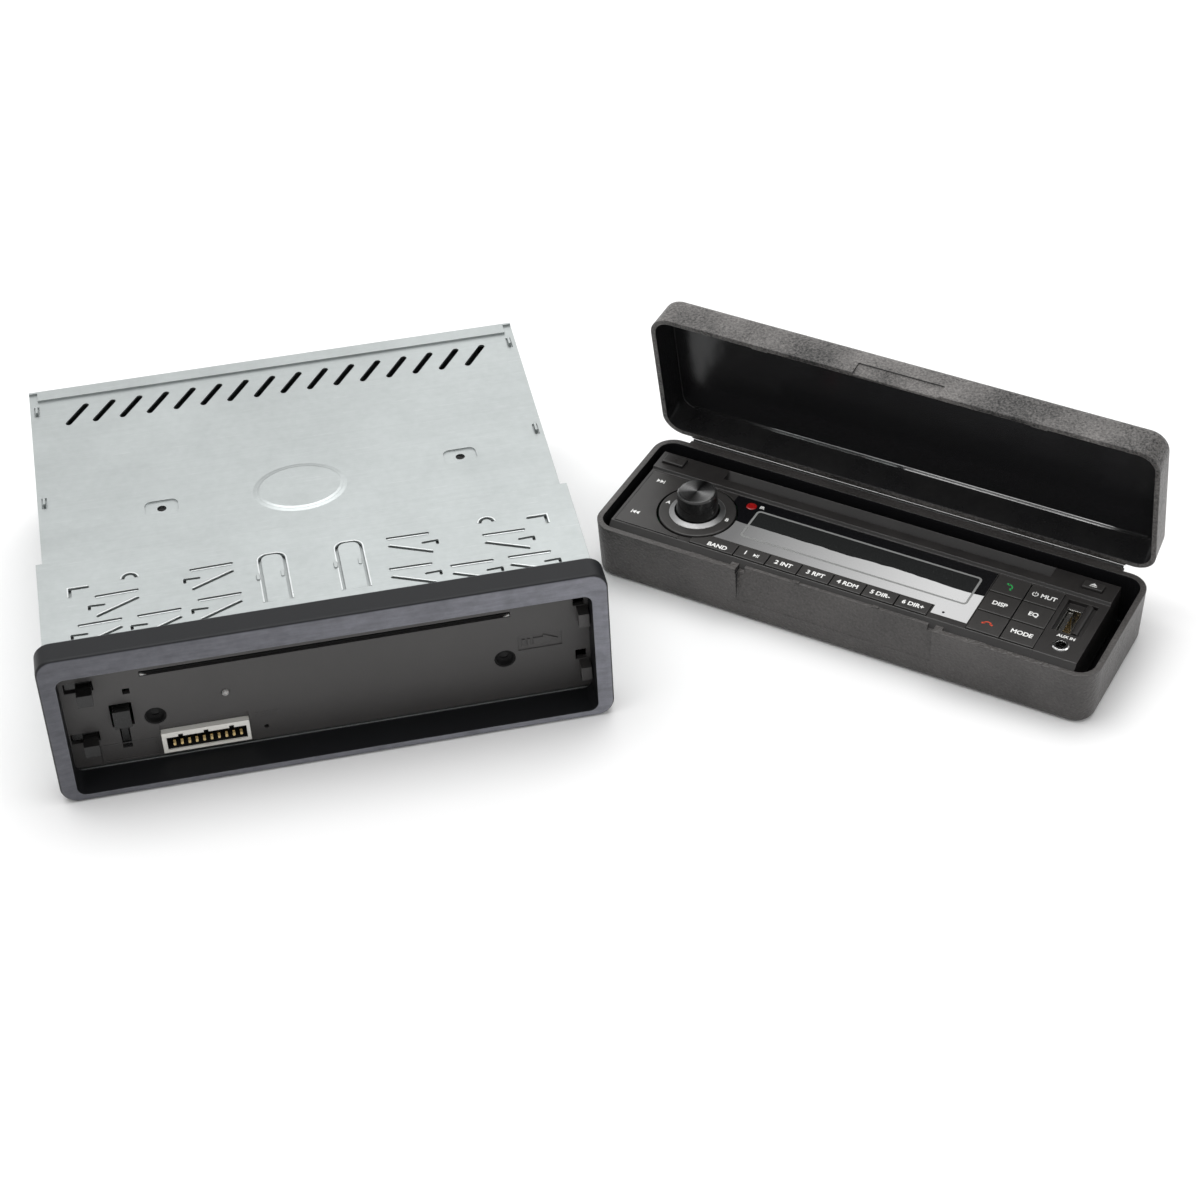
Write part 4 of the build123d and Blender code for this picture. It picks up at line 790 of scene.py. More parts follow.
# ================================================================ shapes
def rounded_rectangle(low: Point2, high: Point2, radius: float, steps: int = 6) -> Outline:
    """Outline of a rectangle with round corners.

    Args:
        low: its lower left corner.
        high: its upper right corner.
        radius: of the corners.
        steps: straight pieces in each corner.

    Returns:
        The outline, counter-clockwise.
    """
    corners = ((high[0], high[1], 0), (low[0], high[1], 90), (low[0], low[1], 180), (high[0], low[1], 270))
    outline = []
    for x, y, start in corners:
        cx = x - radius if x == high[0] else x + radius
        cy = y - radius if y == high[1] else y + radius
        for i in range(steps + 1):
            turn = math.radians(start + 90.0 * i / steps)
            outline.append((cx + radius * math.cos(turn), cy + radius * math.sin(turn)))
    return outline


def arc_strip(
    centre: Point2, inner: float, outer: float, start: float, end: float, steps: int = 24
) -> Outline:
    """Outline of a strip that follows an arc.

    Args:
        centre: of the arc.
        inner: its inner radius.
        outer: its outer radius.
        start: first angle, in degrees.
        end: last angle, in degrees.
        steps: straight pieces along it.

    Returns:
        The outline.
    """
    turns = [math.radians(start + (end - start) * i / steps) for i in range(steps + 1)]
    out = [(centre[0] + outer * math.cos(t), centre[1] + outer * math.sin(t)) for t in turns]
    back = [(centre[0] + inner * math.cos(t), centre[1] + inner * math.sin(t)) for t in reversed(turns)]
    return out + back


def moved(outline: Outline, by: Point2, turn: float = 0.0, scale: float = 1.0) -> Outline:
    """An outline turned about the origin, scaled and shifted.

    Args:
        outline: its points.
        by: the shift.
        turn: the angle, in degrees.
        scale: the factor.

    Returns:
        The new outline.
    """
    c, s = math.cos(math.radians(turn)) * scale, math.sin(math.radians(turn)) * scale
    return [(by[0] + c * x - s * y, by[1] + s * x + c * y) for x, y in outline]


def ribbon(path: Outline, near: float, far: float) -> Outline:
    """Outline of a strip that runs beside an open path.

    Args:
        path: the path's points.
        near: offset of its nearer edge, to the left of the path.
        far: offset of its farther edge.

    Returns:
        The outline.
    """
    edges: tuple[Outline, Outline] = ([], [])
    for i, (x, y) in enumerate(path):
        before, after = path[max(i - 1, 0)], path[min(i + 1, len(path) - 1)]
        ways = [(q[0] - p[0], q[1] - p[1]) for p, q in ((before, (x, y)), ((x, y), after)) if p != q]
        sides = [(-dy / math.hypot(dx, dy), dx / math.hypot(dx, dy)) for dx, dy in ways]
        side = (sum(n[0] for n in sides) / len(sides), sum(n[1] for n in sides) / len(sides))
        stretch = 1.0 / max(side[0] ** 2 + side[1] ** 2, 0.3)
        for edge, offset in zip(edges, (near, far)):
            edge.append((x + side[0] * offset * stretch, y + side[1] * offset * stretch))
    return edges[0] + edges[1][::-1]


class Shape:
    """A mesh that is drawn in a sub-assembly's own millimetres."""

    def __init__(self) -> None:
        """Starts empty."""
        self.mesh = bmesh.new()

    def prism(self, outline: Outline, low: float, high: float) -> "Shape":
        """Adds a closed plate.

        Args:
            outline: its outline.
            low: its lower face.
            high: its upper face.

        Returns:
            The shape.
        """
        foot = [self.mesh.verts.new((x, y, low)) for x, y in outline]
        head = [self.mesh.verts.new((x, y, high)) for x, y in outline]
        self.mesh.faces.new(list(reversed(foot)))
        self.mesh.faces.new(head)
        for i in range(len(outline)):
            j = (i + 1) % len(outline)
            self.mesh.faces.new((foot[i], foot[j], head[j], head[i]))
        return self

    def frame(self, outer: Outline, inner: Outline, low: float, high: float) -> "Shape":
        """Adds a closed frame between two outlines with equally many points.

        Args:
            outer: outer outline.
            inner: inner outline.
            low: its lower face.
            high: its upper face.

        Returns:
            The shape.
        """
        rings = [
            [self.mesh.verts.new((x, y, z)) for x, y in outline]
            for outline, z in ((outer, low), (outer, high), (inner, high), (inner, low))
        ]
        for ring, following in zip(rings, rings[1:] + rings[:1]):
            for i in range(len(outer)):
                j = (i + 1) % len(outer)
                self.mesh.faces.new((ring[i], ring[j], following[j], following[i]))
        return self

    def slab(self, corners: list[tuple[float, float, float]], thickness: float) -> "Shape":
        """Adds a plate over corners that may stand at different heights.

        Args:
            corners: its lower face.
            thickness: how far the upper face is above it.

        Returns:
            The shape.
        """
        foot = [self.mesh.verts.new(p) for p in corners]
        head = [self.mesh.verts.new((x, y, z + thickness)) for x, y, z in corners]
        self.mesh.faces.new(list(reversed(foot)))
        self.mesh.faces.new(head)
        for i in range(len(corners)):
            j = (i + 1) % len(corners)
            self.mesh.faces.new((foot[i], foot[j], head[j], head[i]))
        return self

    def bar(self, section: Outline, start: float, end: float, steps: int = 1) -> "Shape":
        """Adds a bar along X.

        Args:
            section: its (y, z) outline.
            start: its left end.
            end: its right end.
            steps: lengths it is divided into.

        Returns:
            The shape.
        """
        rows = [
            [self.mesh.verts.new((start + (end - start) * i / steps, y, z)) for y, z in section]
            for i in range(steps + 1)
        ]
        self.mesh.faces.new(rows[0])
        self.mesh.faces.new(list(reversed(rows[-1])))
        for row, following in zip(rows, rows[1:]):
            for i in range(len(section)):
                j = (i + 1) % len(section)
                self.mesh.faces.new((row[i], following[i], following[j], row[j]))
        return self

    def lettering(self, text: str, at: Point2, size: float, low: float, depth: float = 0.03) -> "Shape":
        """Adds raised lettering.

        Args:
            text: what it says.
            at: its middle.
            size: of the type.
            low: its lower face.
            depth: how thick the ink is.

        Returns:
            The shape.
        """
        curve = bpy.data.curves.new("lettering", "FONT")
        curve.body = text
        curve.size = size
        curve.align_x = "CENTER"
        curve.align_y = "CENTER"
        curve.extrude = depth / 2
        curve.offset = size * 0.028
        curve.resolution_u = 4
        letters = bpy.data.objects.new("lettering", curve)
        bpy.context.scene.collection.objects.link(letters)
        bpy.context.view_layer.update()
        drawn = bpy.data.meshes.new_from_object(letters.evaluated_get(bpy.context.evaluated_depsgraph_get()))
        drawn.transform(Matrix.Translation((at[0], at[1], low + depth / 2)))
        self.mesh.from_mesh(drawn)
        bpy.data.objects.remove(letters)
        bpy.data.curves.remove(curve)
        bpy.data.meshes.remove(drawn)
        return self

    def mesh_data(self, name: str, place: Matrix, smooth: bool = False) -> bpy.types.Mesh:
        """Ends the shape as a mesh.

        Args:
            name: of the mesh.
            place: from the sub-assembly's millimetres to the frame.
            smooth: whether its faces are shaded smooth.

        Returns:
            The mesh.
        """
        bmesh.ops.recalc_face_normals(self.mesh, faces=self.mesh.faces)
        data = bpy.data.meshes.new(name)
        self.mesh.to_mesh(data)
        self.mesh.free()
        data.transform(place)
        for polygon in data.polygons:
            polygon.use_smooth = smooth
        return data

    def piece(
        self, name: str, place: Matrix, body: str, finish: Finish, smooth: bool = False
    ) -> bpy.types.Object:
        """Ends the shape as a piece of the object.

        Args:
            name: of the piece.
            place: from the sub-assembly's millimetres to the frame.
            body: what it rides on.
            finish: what it is dressed in.
            smooth: whether its faces are shaded smooth.

        Returns:
            The piece.
        """
        data = self.mesh_data(name, place, smooth)
        made = bpy.data.objects.new(name, data)
        bpy.context.scene.collection.objects.link(made)
        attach(made, body)
        log.info("piece %s rides on %s", name, body)
        return finish.on(made)


def dress(finish: Finish, *nodes: str) -> None:
    """Puts a finish on CAD nodes.

    Args:
        finish: the finish.
        nodes: names of the nodes.
    """
    for name in nodes:
        finish.on(frame["nodes"][name])
        log.info("node %s is dressed in %s", name, finish.name)


def in_millimetres(origin: Vector, along: Vector, across: Vector) -> Matrix:
    """Places a sub-assembly.

    Args:
        origin: where its own origin stands, in metres.
        along: its X direction.
        across: its Y direction.

    Returns:
        The matrix from its millimetres to the frame.
    """
    turn = Matrix((along, across, along.cross(across))).transposed().to_4x4()
    return Matrix.Translation(origin) @ turn @ Matrix.Scale(MM, 4)


MOUNTS = {mount["name"]: mount for mount in frame["record"]["mounts"]}
JOINTS = {joint["name"]: joint for joint in frame["joints"]}
UP = Vector((0.0, 0.0, 1.0))
CASE_ALONG = -Vector(JOINTS["lid_hinge"]["axis"])
CASE_ACROSS = UP.cross(CASE_ALONG)
CASE_ORIGIN = Vector(MOUNTS["case_rest"]["pos_m"])
FACE_SHIFT = (-2.0, -0.8)
FACE_ORIGIN = CASE_ORIGIN + (FACE_SHIFT[0] * CASE_ALONG + FACE_SHIFT[1] * CASE_ACROSS) * MM
HEAD_PLACE = Matrix.Scale(MM, 4)
NOSE_PLACE = in_millimetres(Vector((0, 0, 0)), Vector((1, 0, 0)), Vector((0, 0, 1)))
CASE_PLACE = in_millimetres(CASE_ORIGIN, CASE_ALONG, CASE_ACROSS)
FACE_PLACE = in_millimetres(FACE_ORIGIN, CASE_ALONG, CASE_ACROSS)

WHITE_INK = Print("white_ink", "key_plastic", (0.93, 0.93, 0.91), 0.45)
GREEN_INK = Print("green_ink", "key_plastic", (0.03, 0.42, 0.10), 0.45)
RED_INK = Print("red_ink", "key_plastic", (0.62, 0.07, 0.03), 0.45)


# ================================================================ head unit
@dataclass
class HeadUnit:
    """The head unit in its mounting sleeve; sizes in millimetres."""

    body: str = "head_unit"
    sleeve_top: float = 26.5
    tooth: tuple[Point2, ...] = ((0, 0), (13.7, 0.3), (13.6, -4.1), (0, -10.3))
    teeth_at: tuple[Point2, ...] = ((-72.1, 26.0), (-40.1, 32.0), (-38.8, 15.9), (-59.0, 12.7), (-78.5, 12.5))
    roll_gap: float = 0.52
    roll_width: float = 1.0
    roll_height: float = 0.16
    moon_at: Point2 = (60.5, 32.6)
    moon_radius: float = 2.2
    corner_slit: tuple[Point2, ...] = ((74.5, 31.5), (80.5, 31.5), (80.5, 27.5))
    u_tab_x: float = 13.0
    u_tab_half: float = 4.1
    u_tab_radius: float = 2.6
    u_tab_y: Point2 = (9.4, 33.4)
    nose_face: float = -0.6
    link_low: Point2 = (-57.0, -22.7)
    link_high: Point2 = (-30.2, -17.2)
    pin_count: int = 10
    pin_pitch: float = 2.5
    first_pin: float = -54.6
    screws_at: tuple[Point2, ...] = ((-59.2, -7.5), (59.2, -7.5))
    slot_z: float = 12.0
    slot_half: float = 62.0

    zinc: SheetMetal = SheetMetal(
        "zinc_sheet_finish", "zinc_sheet", (0.445, 0.472, 0.470), 0.44,
        edge_wear_and_highlight_colour=(0.72, 0.73, 0.73), stain=(0.36, 0.385, 0.38),
    )
    steel: SheetMetal = SheetMetal("deck_steel_finish", "deck_steel", (0.52, 0.53, 0.53), 0.34)
    # A lighter copy of the zinc for the rolled slit edges: painted highlight.
    zinc_painted_highlight: SheetMetal = SheetMetal(
        "zinc_painted_highlight_finish", "zinc_sheet", (0.78, 0.81, 0.81), 0.30,
        edge_wear_and_highlight_colour=(0.90, 0.91, 0.91), stain=(0.62, 0.65, 0.65),
    )
    # A near-black copy of the deck steel for the screws: painted shade, so the sunk heads read as dark holes.
    steel_painted_shade: SheetMetal = SheetMetal(
        "steel_painted_shade_finish", "deck_steel", (0.03, 0.03, 0.03), 0.35,
        edge_wear_and_highlight_colour=(0.25, 0.25, 0.25), stain=(0.02, 0.02, 0.02),
    )
    extrusion: SheetMetal = SheetMetal("extrusion_finish", "sink_aluminium", (0.60, 0.61, 0.62), 0.42)
    nickel: SheetMetal = SheetMetal("nickel_finish", "socket_metal", (0.60, 0.59, 0.56), 0.26)
    gold: SheetMetal = SheetMetal(
        "gold_finish", "contact_gold", (0.86, 0.60, 0.22), 0.24,
        edge_wear_and_highlight_colour=(0.95, 0.80, 0.5), stain=(0.7, 0.45, 0.15),
    )
    # Diffuse bright gold for the pin tips: painted glints, standing in for the light the metal tips catch.
    gilt: Print = Print("gold_tip_painted_glint_finish", "contact_gold", (0.95, 0.72, 0.34), 0.3)
    # The ring's lighter front colour is a painted sheen on its front faces, painted lighter to the right.
    ring: Plastic = Plastic(
        "trim_ring_finish", "trim_plastic", (0.010, 0.0105, 0.012), 0.46, grain_scale=4200.0,
        grain_height=0.000016, edge_radius=0.0006, edge_wear_and_highlight_colour=(0.30, 0.31, 0.33), edge_share=0.55, dust=0.0,
        specular=0.22, front_sheen_colour=(0.135, 0.137, 0.155), front_sheen_share=1.0,
    )
    nose: Plastic = Plastic(
        "nose_finish", "nose_plastic", (0.060, 0.0575, 0.0565), 0.46, grain_scale=3400.0,
        grain_height=0.00003, edge_wear_and_highlight_colour=(0.14, 0.14, 0.14), dust=0.03,
    )
    latch: Plastic = Plastic("latch_finish", "hook_plastic", (0.008, 0.008, 0.008), 0.26, edge_share=0.25)
    socket: Plastic = Plastic("socket_finish", "socket_plastic", (0.022, 0.022, 0.023), 0.38)
    link: Plastic = Plastic(
        "link_finish", "link_white", (0.90, 0.885, 0.83), 0.38,
        edge_wear_and_highlight_colour=(0.95, 0.94, 0.9), tone_change=0.03,
    )
    lamp: Lens = Lens("lamp_finish", "lamp_lens", (0.36, 0.36, 0.35), 0.25)
    drive: Plastic = Plastic("drive_plastic_finish", "turntable_plastic", (0.03, 0.03, 0.03), 0.45)
    # The near-black lips at the disc slot are real; the same near-black finish lining the connector cavity and the
    # screw wells is painted shade.
    felt_and_painted_shade: Plastic = Plastic(
        "felt_and_painted_shade_finish", "hook_plastic", (0.006, 0.006, 0.006), 0.95,
        grain_height=0.0002, edge_share=0.0, dust=0.0,
    )
    rubber: Plastic = Plastic(
        "rubber_finish", "roller_rubber", (0.016, 0.016, 0.016), 0.8, grain_height=0.00005
    )
    board: CircuitBoard = CircuitBoard("board_finish", "board_green", (0.015, 0.11, 0.045), 0.3)
    chip: Plastic = Plastic("chip_finish", "chip_black", (0.018, 0.018, 0.02), 0.55)
    can: Plastic = Plastic("can_finish", "can_sleeve", (0.02, 0.022, 0.05), 0.2)

    def dress(self) -> None:
        """Puts the finishes on the CAD nodes."""
        dress(self.zinc, "chassis_tray", "top_cover", "rear_panel", "mounting_sleeve")
        dress(self.steel, "deck_frame", "guide_rods", "lead_screw", "rear_stud")
        # The screws are painted near-black as painted shade.
        dress(self.steel_painted_shade, "cover_screws")
        dress(self.extrusion, "heat_sink")
        dress(self.nickel, "antenna_socket", "spindle_motor")
        dress(self.ring, "trim_ring")
        dress(self.nose, "front_nose")
        dress(self.latch, "panel_hooks", "eject_lever", "reset_button")
        dress(self.socket, "power_socket")
        dress(self.link, "connector_shell")
        dress(self.gold, "connector_pins")
        dress(self.lamp, "security_led")
        dress(self.drive, "turntable", "pickup_sled")
        dress(self.rubber, "feed_roller")
        dress(self.board, "main_board")
        dress(self.chip, "amplifier_chip")
        dress(self.can, "capacitors")

    def tab_outline(self, half: float) -> Outline:
        """The open outline of a spring tab about its own middle.

        Args:
            half: half of its width.

        Returns:
            The outline, from the foot of its left leg round to the foot of its right leg.
        """
        start, end = self.u_tab_y
        end -= self.u_tab_half - half
        radius = self.u_tab_radius
        outline = [(-half, start)]
        for corner, first in ((-1, 180.0), (1, 90.0)):
            for i in range(7):
                turn = math.radians(first - 15.0 * i)
                x = corner * (half - radius) + radius * math.cos(turn)
                outline.append((x, end - radius + radius * math.sin(turn)))
        outline.append((half, start))
        return outline

    def rolled_edges(self) -> None:
        """The rolled outer edge of every slit in the sleeve, which catches the light: a raised lip in a lighter
        copy of the zinc, partly real relief and partly painted highlight.
        """
        low, high = self.sleeve_top - 0.05, self.sleeve_top + self.roll_height
        for side in (-1, 1):
            shape = Shape()
            for at in self.teeth_at:
                path = [(-side * (at[0] + x), at[1] + y) for x, y in self.tooth]
                for cut in (path[:2], path[2:]):
                    shape.prism(ribbon(cut, side * self.roll_gap, side * self.roll_width), low, high)
            x = side * self.u_tab_x
            loop = [(px + x, py) for px, py in self.tab_outline(self.u_tab_half)]
            shape.prism(ribbon(loop, self.roll_gap, self.roll_width), low, high)
            moon_x, moon_y = side * self.moon_at[0], self.moon_at[1]
            turns = [math.pi * i / 10 for i in range(11)]
            radius = self.moon_radius
            moon = [(moon_x - radius * math.cos(t), moon_y + radius * math.sin(t)) for t in turns]
            shape.prism(ribbon(moon, self.roll_gap, self.roll_width), low, high)
            corner = [(side * x, y) for x, y in self.corner_slit]
            shape.prism(ribbon(corner, side * self.roll_gap, side * self.roll_width), low, high)
            name = "rolled_edges_right" if side > 0 else "rolled_edges_left"
            shape.piece(name, HEAD_PLACE, self.body, self.zinc_painted_highlight)

    def spring_tabs(self) -> None:
        """The two round-cornered tabs, sprung up a little at their free end."""
        shape = Shape()
        for side in (-1, 1):
            outline = self.tab_outline(self.u_tab_half - 0.5)
            start, end = self.u_tab_y
            root, rise = self.sleeve_top - 0.45, 0.45
            middle = side * self.u_tab_x
            corners = [(middle + x, y, root + rise * (y - start) / (end - start)) for x, y in outline]
            shape.slab(corners, 0.47)
        shape.piece("spring_tabs", HEAD_PLACE, self.body, self.zinc)

    def disc_slot(self) -> None:
        """Felt lips behind the disc slot, and the bright guides at its ends."""
        shape = Shape()
        for z in (self.slot_z - 1.0, self.slot_z + 0.35):
            half, top = self.slot_half, z + 0.65
            shape.prism([(-half, z), (half, z), (half, top), (-half, top)], -2.3, -1.6)
        shape.piece("slot_felt", NOSE_PLACE, self.body, self.felt_and_painted_shade)
        guides = Shape()
        for side in (-1, 1):
            near, far = side * (self.slot_half - 0.2), side * (self.slot_half - 2.4)
            foot, top = self.slot_z - 1.0, self.slot_z - 0.1
            guides.prism([(near, foot), (far, foot), (near, top)], -1.4, -0.8)
        guides.piece("slot_guides", NOSE_PLACE, self.body, self.lamp)

    def link_cavity_painted_shade(self) -> None:
        """Painted shade: a near-black lining of the face connector's cavity and of the shadowed ledge above it,
        where there is only shade; and bright gold tips on the pins, painted as glints.
        """
        low, high = self.link_low, self.link_high
        shape = Shape()
        outer = [low, (high[0], low[1]), high, (low[0], high[1])]
        inner = [
            (low[0] + 0.15, low[1] + 0.15), (high[0] - 0.15, low[1] + 0.15), (high[0] - 0.15, high[1] - 0.15),
            (low[0] + 0.15, high[1] - 0.15),
        ]
        shape.frame(outer, inner, -5.8, 0.1)
        shape.prism(outer, -5.9, -5.6)
        shape.piece("link_cavity_painted_shade", NOSE_PLACE, self.body, self.felt_and_painted_shade)
        # Painted glint: bright diffuse gold tips at the front of the pins.
        tips = Shape()
        for i in range(self.pin_count):
            x = self.first_pin + i * self.pin_pitch
            tips.prism(rounded_rectangle((x - 0.45, -21.4), (x + 0.45, -20.3), 0.3, 3), -1.3, 0.2)
        tips.piece("contact_tips", NOSE_PLACE, self.body, self.gilt)

    def screw_wells_painted_shade(self) -> None:
        """Painted shade: near-black linings of the two screw wells in the nose, over the sunk screw heads, where
        there is only shade.
        """
        shape = Shape()
        for x, z in self.screws_at:
            turns = [2 * math.pi * i / 32 for i in range(32)]
            rings = [[(x + r * math.cos(t), z + r * math.sin(t)) for t in turns] for r in (3.66, 3.2, 1.5)]
            shape.frame(rings[0], rings[1], -2.95, self.nose_face - 0.25)
            shape.frame(rings[0], rings[2], -2.98, -2.6)
        shape.piece("screw_wells_painted_shade", NOSE_PLACE, self.body, self.felt_and_painted_shade)

    def nose_marks(self) -> None:
        """Moulded lettering and the faint frame lines round the connector."""
        marks = Shape()
        marks.lettering("RESET", (-22.5, -14.6), 3.2, self.nose_face, 0.06)
        frame_low, frame_high = (-78.9, -24.5), (-60.1, -17.0)
        outer = rounded_rectangle(frame_low, frame_high, 0.4, 2)
        inner = rounded_rectangle(
            (frame_low[0] + 0.3, frame_low[1] + 0.3), (frame_high[0] - 0.3, frame_high[1] - 0.3), 0.2, 2
        )
        marks.frame(outer, inner, self.nose_face, self.nose_face + 0.28)
        marks.piece("nose_marks", NOSE_PLACE, self.body, self.nose)

    def build(self) -> None:
        """Builds and dresses the head unit."""
        self.dress()
        self.rolled_edges()
        self.spring_tabs()
        self.disc_slot()
        self.link_cavity_painted_shade()
        self.screw_wells_painted_shade()
        self.nose_marks()


# ================================================================ carrying case
@dataclass
class CarryingCase:
    """The open carrying case; sizes in millimetres in the case's own axes."""

    length: float = 190.0
    hinge_up: float = 22.4
    hinge_back: float = 30.85
    hinge_length: float = 168.0
    lid_open: float = 80.0
    lid_depth: float = 11.3

    def lid_place(self) -> Matrix:
        """From the lid's own axes, drawn shut about its hinge line, to the frame."""
        hinge = Matrix.Translation((0, self.hinge_back, self.hinge_up))
        return CASE_PLACE @ hinge @ Matrix.Rotation(math.radians(-self.lid_open), 4, "X")

    def finishes(self) -> tuple[ShellPlastic, ShellPlastic]:
        """The base's and the lid's plastic, each knowing where its hollow is."""
        base_middle = CASE_PLACE @ Vector((0, 0, 18))
        lid_middle = self.lid_place() @ Vector((0, -self.hinge_back, 2))
        common = dict(
            slot="case_plastic", grain_scale=1250.0, edge_radius=0.0006,
            edge_wear_and_highlight_colour=(0.15, 0.145, 0.14), dust=0.05,
        )
        base = ShellPlastic(
            name="case_base_finish", colour=(0.054, 0.050, 0.048), roughness=0.38, grain_height=0.00030,
            tone_change=0.35, middle=tuple(base_middle), **common,
        )
        # The lid's outer colour is painted about twice as light as the base's, though both are the same case
        # plastic: painted light, for the light the open lid catches from above.
        lid = ShellPlastic(
            name="case_lid_finish", colour=(0.110, 0.104, 0.100), roughness=0.42, grain_height=0.00060,
            tone_change=0.8, middle=tuple(lid_middle), **common,
        )
        return base, lid

    def lid_fillet(self, polished: Plastic) -> None:
        """The concave fillet where the lid's crown meets its back wall.

        Args:
            polished: the lid's inner finish.
        """
        radius = 2.6
        back = -3.2
        crown = self.lid_depth - 0.1
        section = [(back + 0.4, crown + 0.4), (back + 0.4, crown - radius)]
        for i in range(9):
            turn = math.radians(90.0 * i / 8)
            y = back - radius + radius * math.cos(turn)
            z = crown - radius + radius * math.sin(turn)
            section.append((y, z))
        section.append((back - radius, crown + 0.4))
        shape = Shape().bar(section, -self.length / 2 + 7.0, self.length / 2 - 7.0, 1)
        shape.piece("lid_inner_fillet", self.lid_place(), "case_lid", polished, smooth=True)

    def hinge_film(self, film: Plastic) -> None:
        """The thin living hinge between the base and the lid, drawn as a fixed curved strip.

        Args:
            film: its finish.
        """
        thickness = 0.3
        steps = 8
        outer, inner = [], []
        for i in range(steps + 1):
            turn = math.radians(-90.0 + 90.0 * i / steps)
            for rail, radius in ((outer, 0.95), (inner, 0.95 - thickness)):
                y = self.hinge_back - 0.45 + radius * math.cos(turn)
                z = self.hinge_up + 0.1 + radius * math.sin(turn)
                rail.append((y, z))
        section = outer + inner[::-1]
        shape = Shape().bar(section, -self.hinge_length / 2 + 0.5, self.hinge_length / 2 - 0.5, 1)
        data = shape.mesh_data("hinge_film", CASE_PLACE)
        made = bpy.data.objects.new("hinge_film", data)
        bpy.context.scene.collection.objects.link(made)
        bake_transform(made)
        film.on(made)

    def build(self) -> None:
        """Builds and dresses the case."""
        base, lid = self.finishes()
        dress(base, "case_base")
        dress(lid, "case_lid")
        polished = Plastic(
            "case_polished_finish", "case_plastic", (0.04, 0.04, 0.04), 0.06, grain_height=0.000001,
            edge_share=0.0, dust=0.0, coat=1.0, specular=1.0, ior=4.0,
        )
        self.lid_fillet(polished)
        self.hinge_film(base)


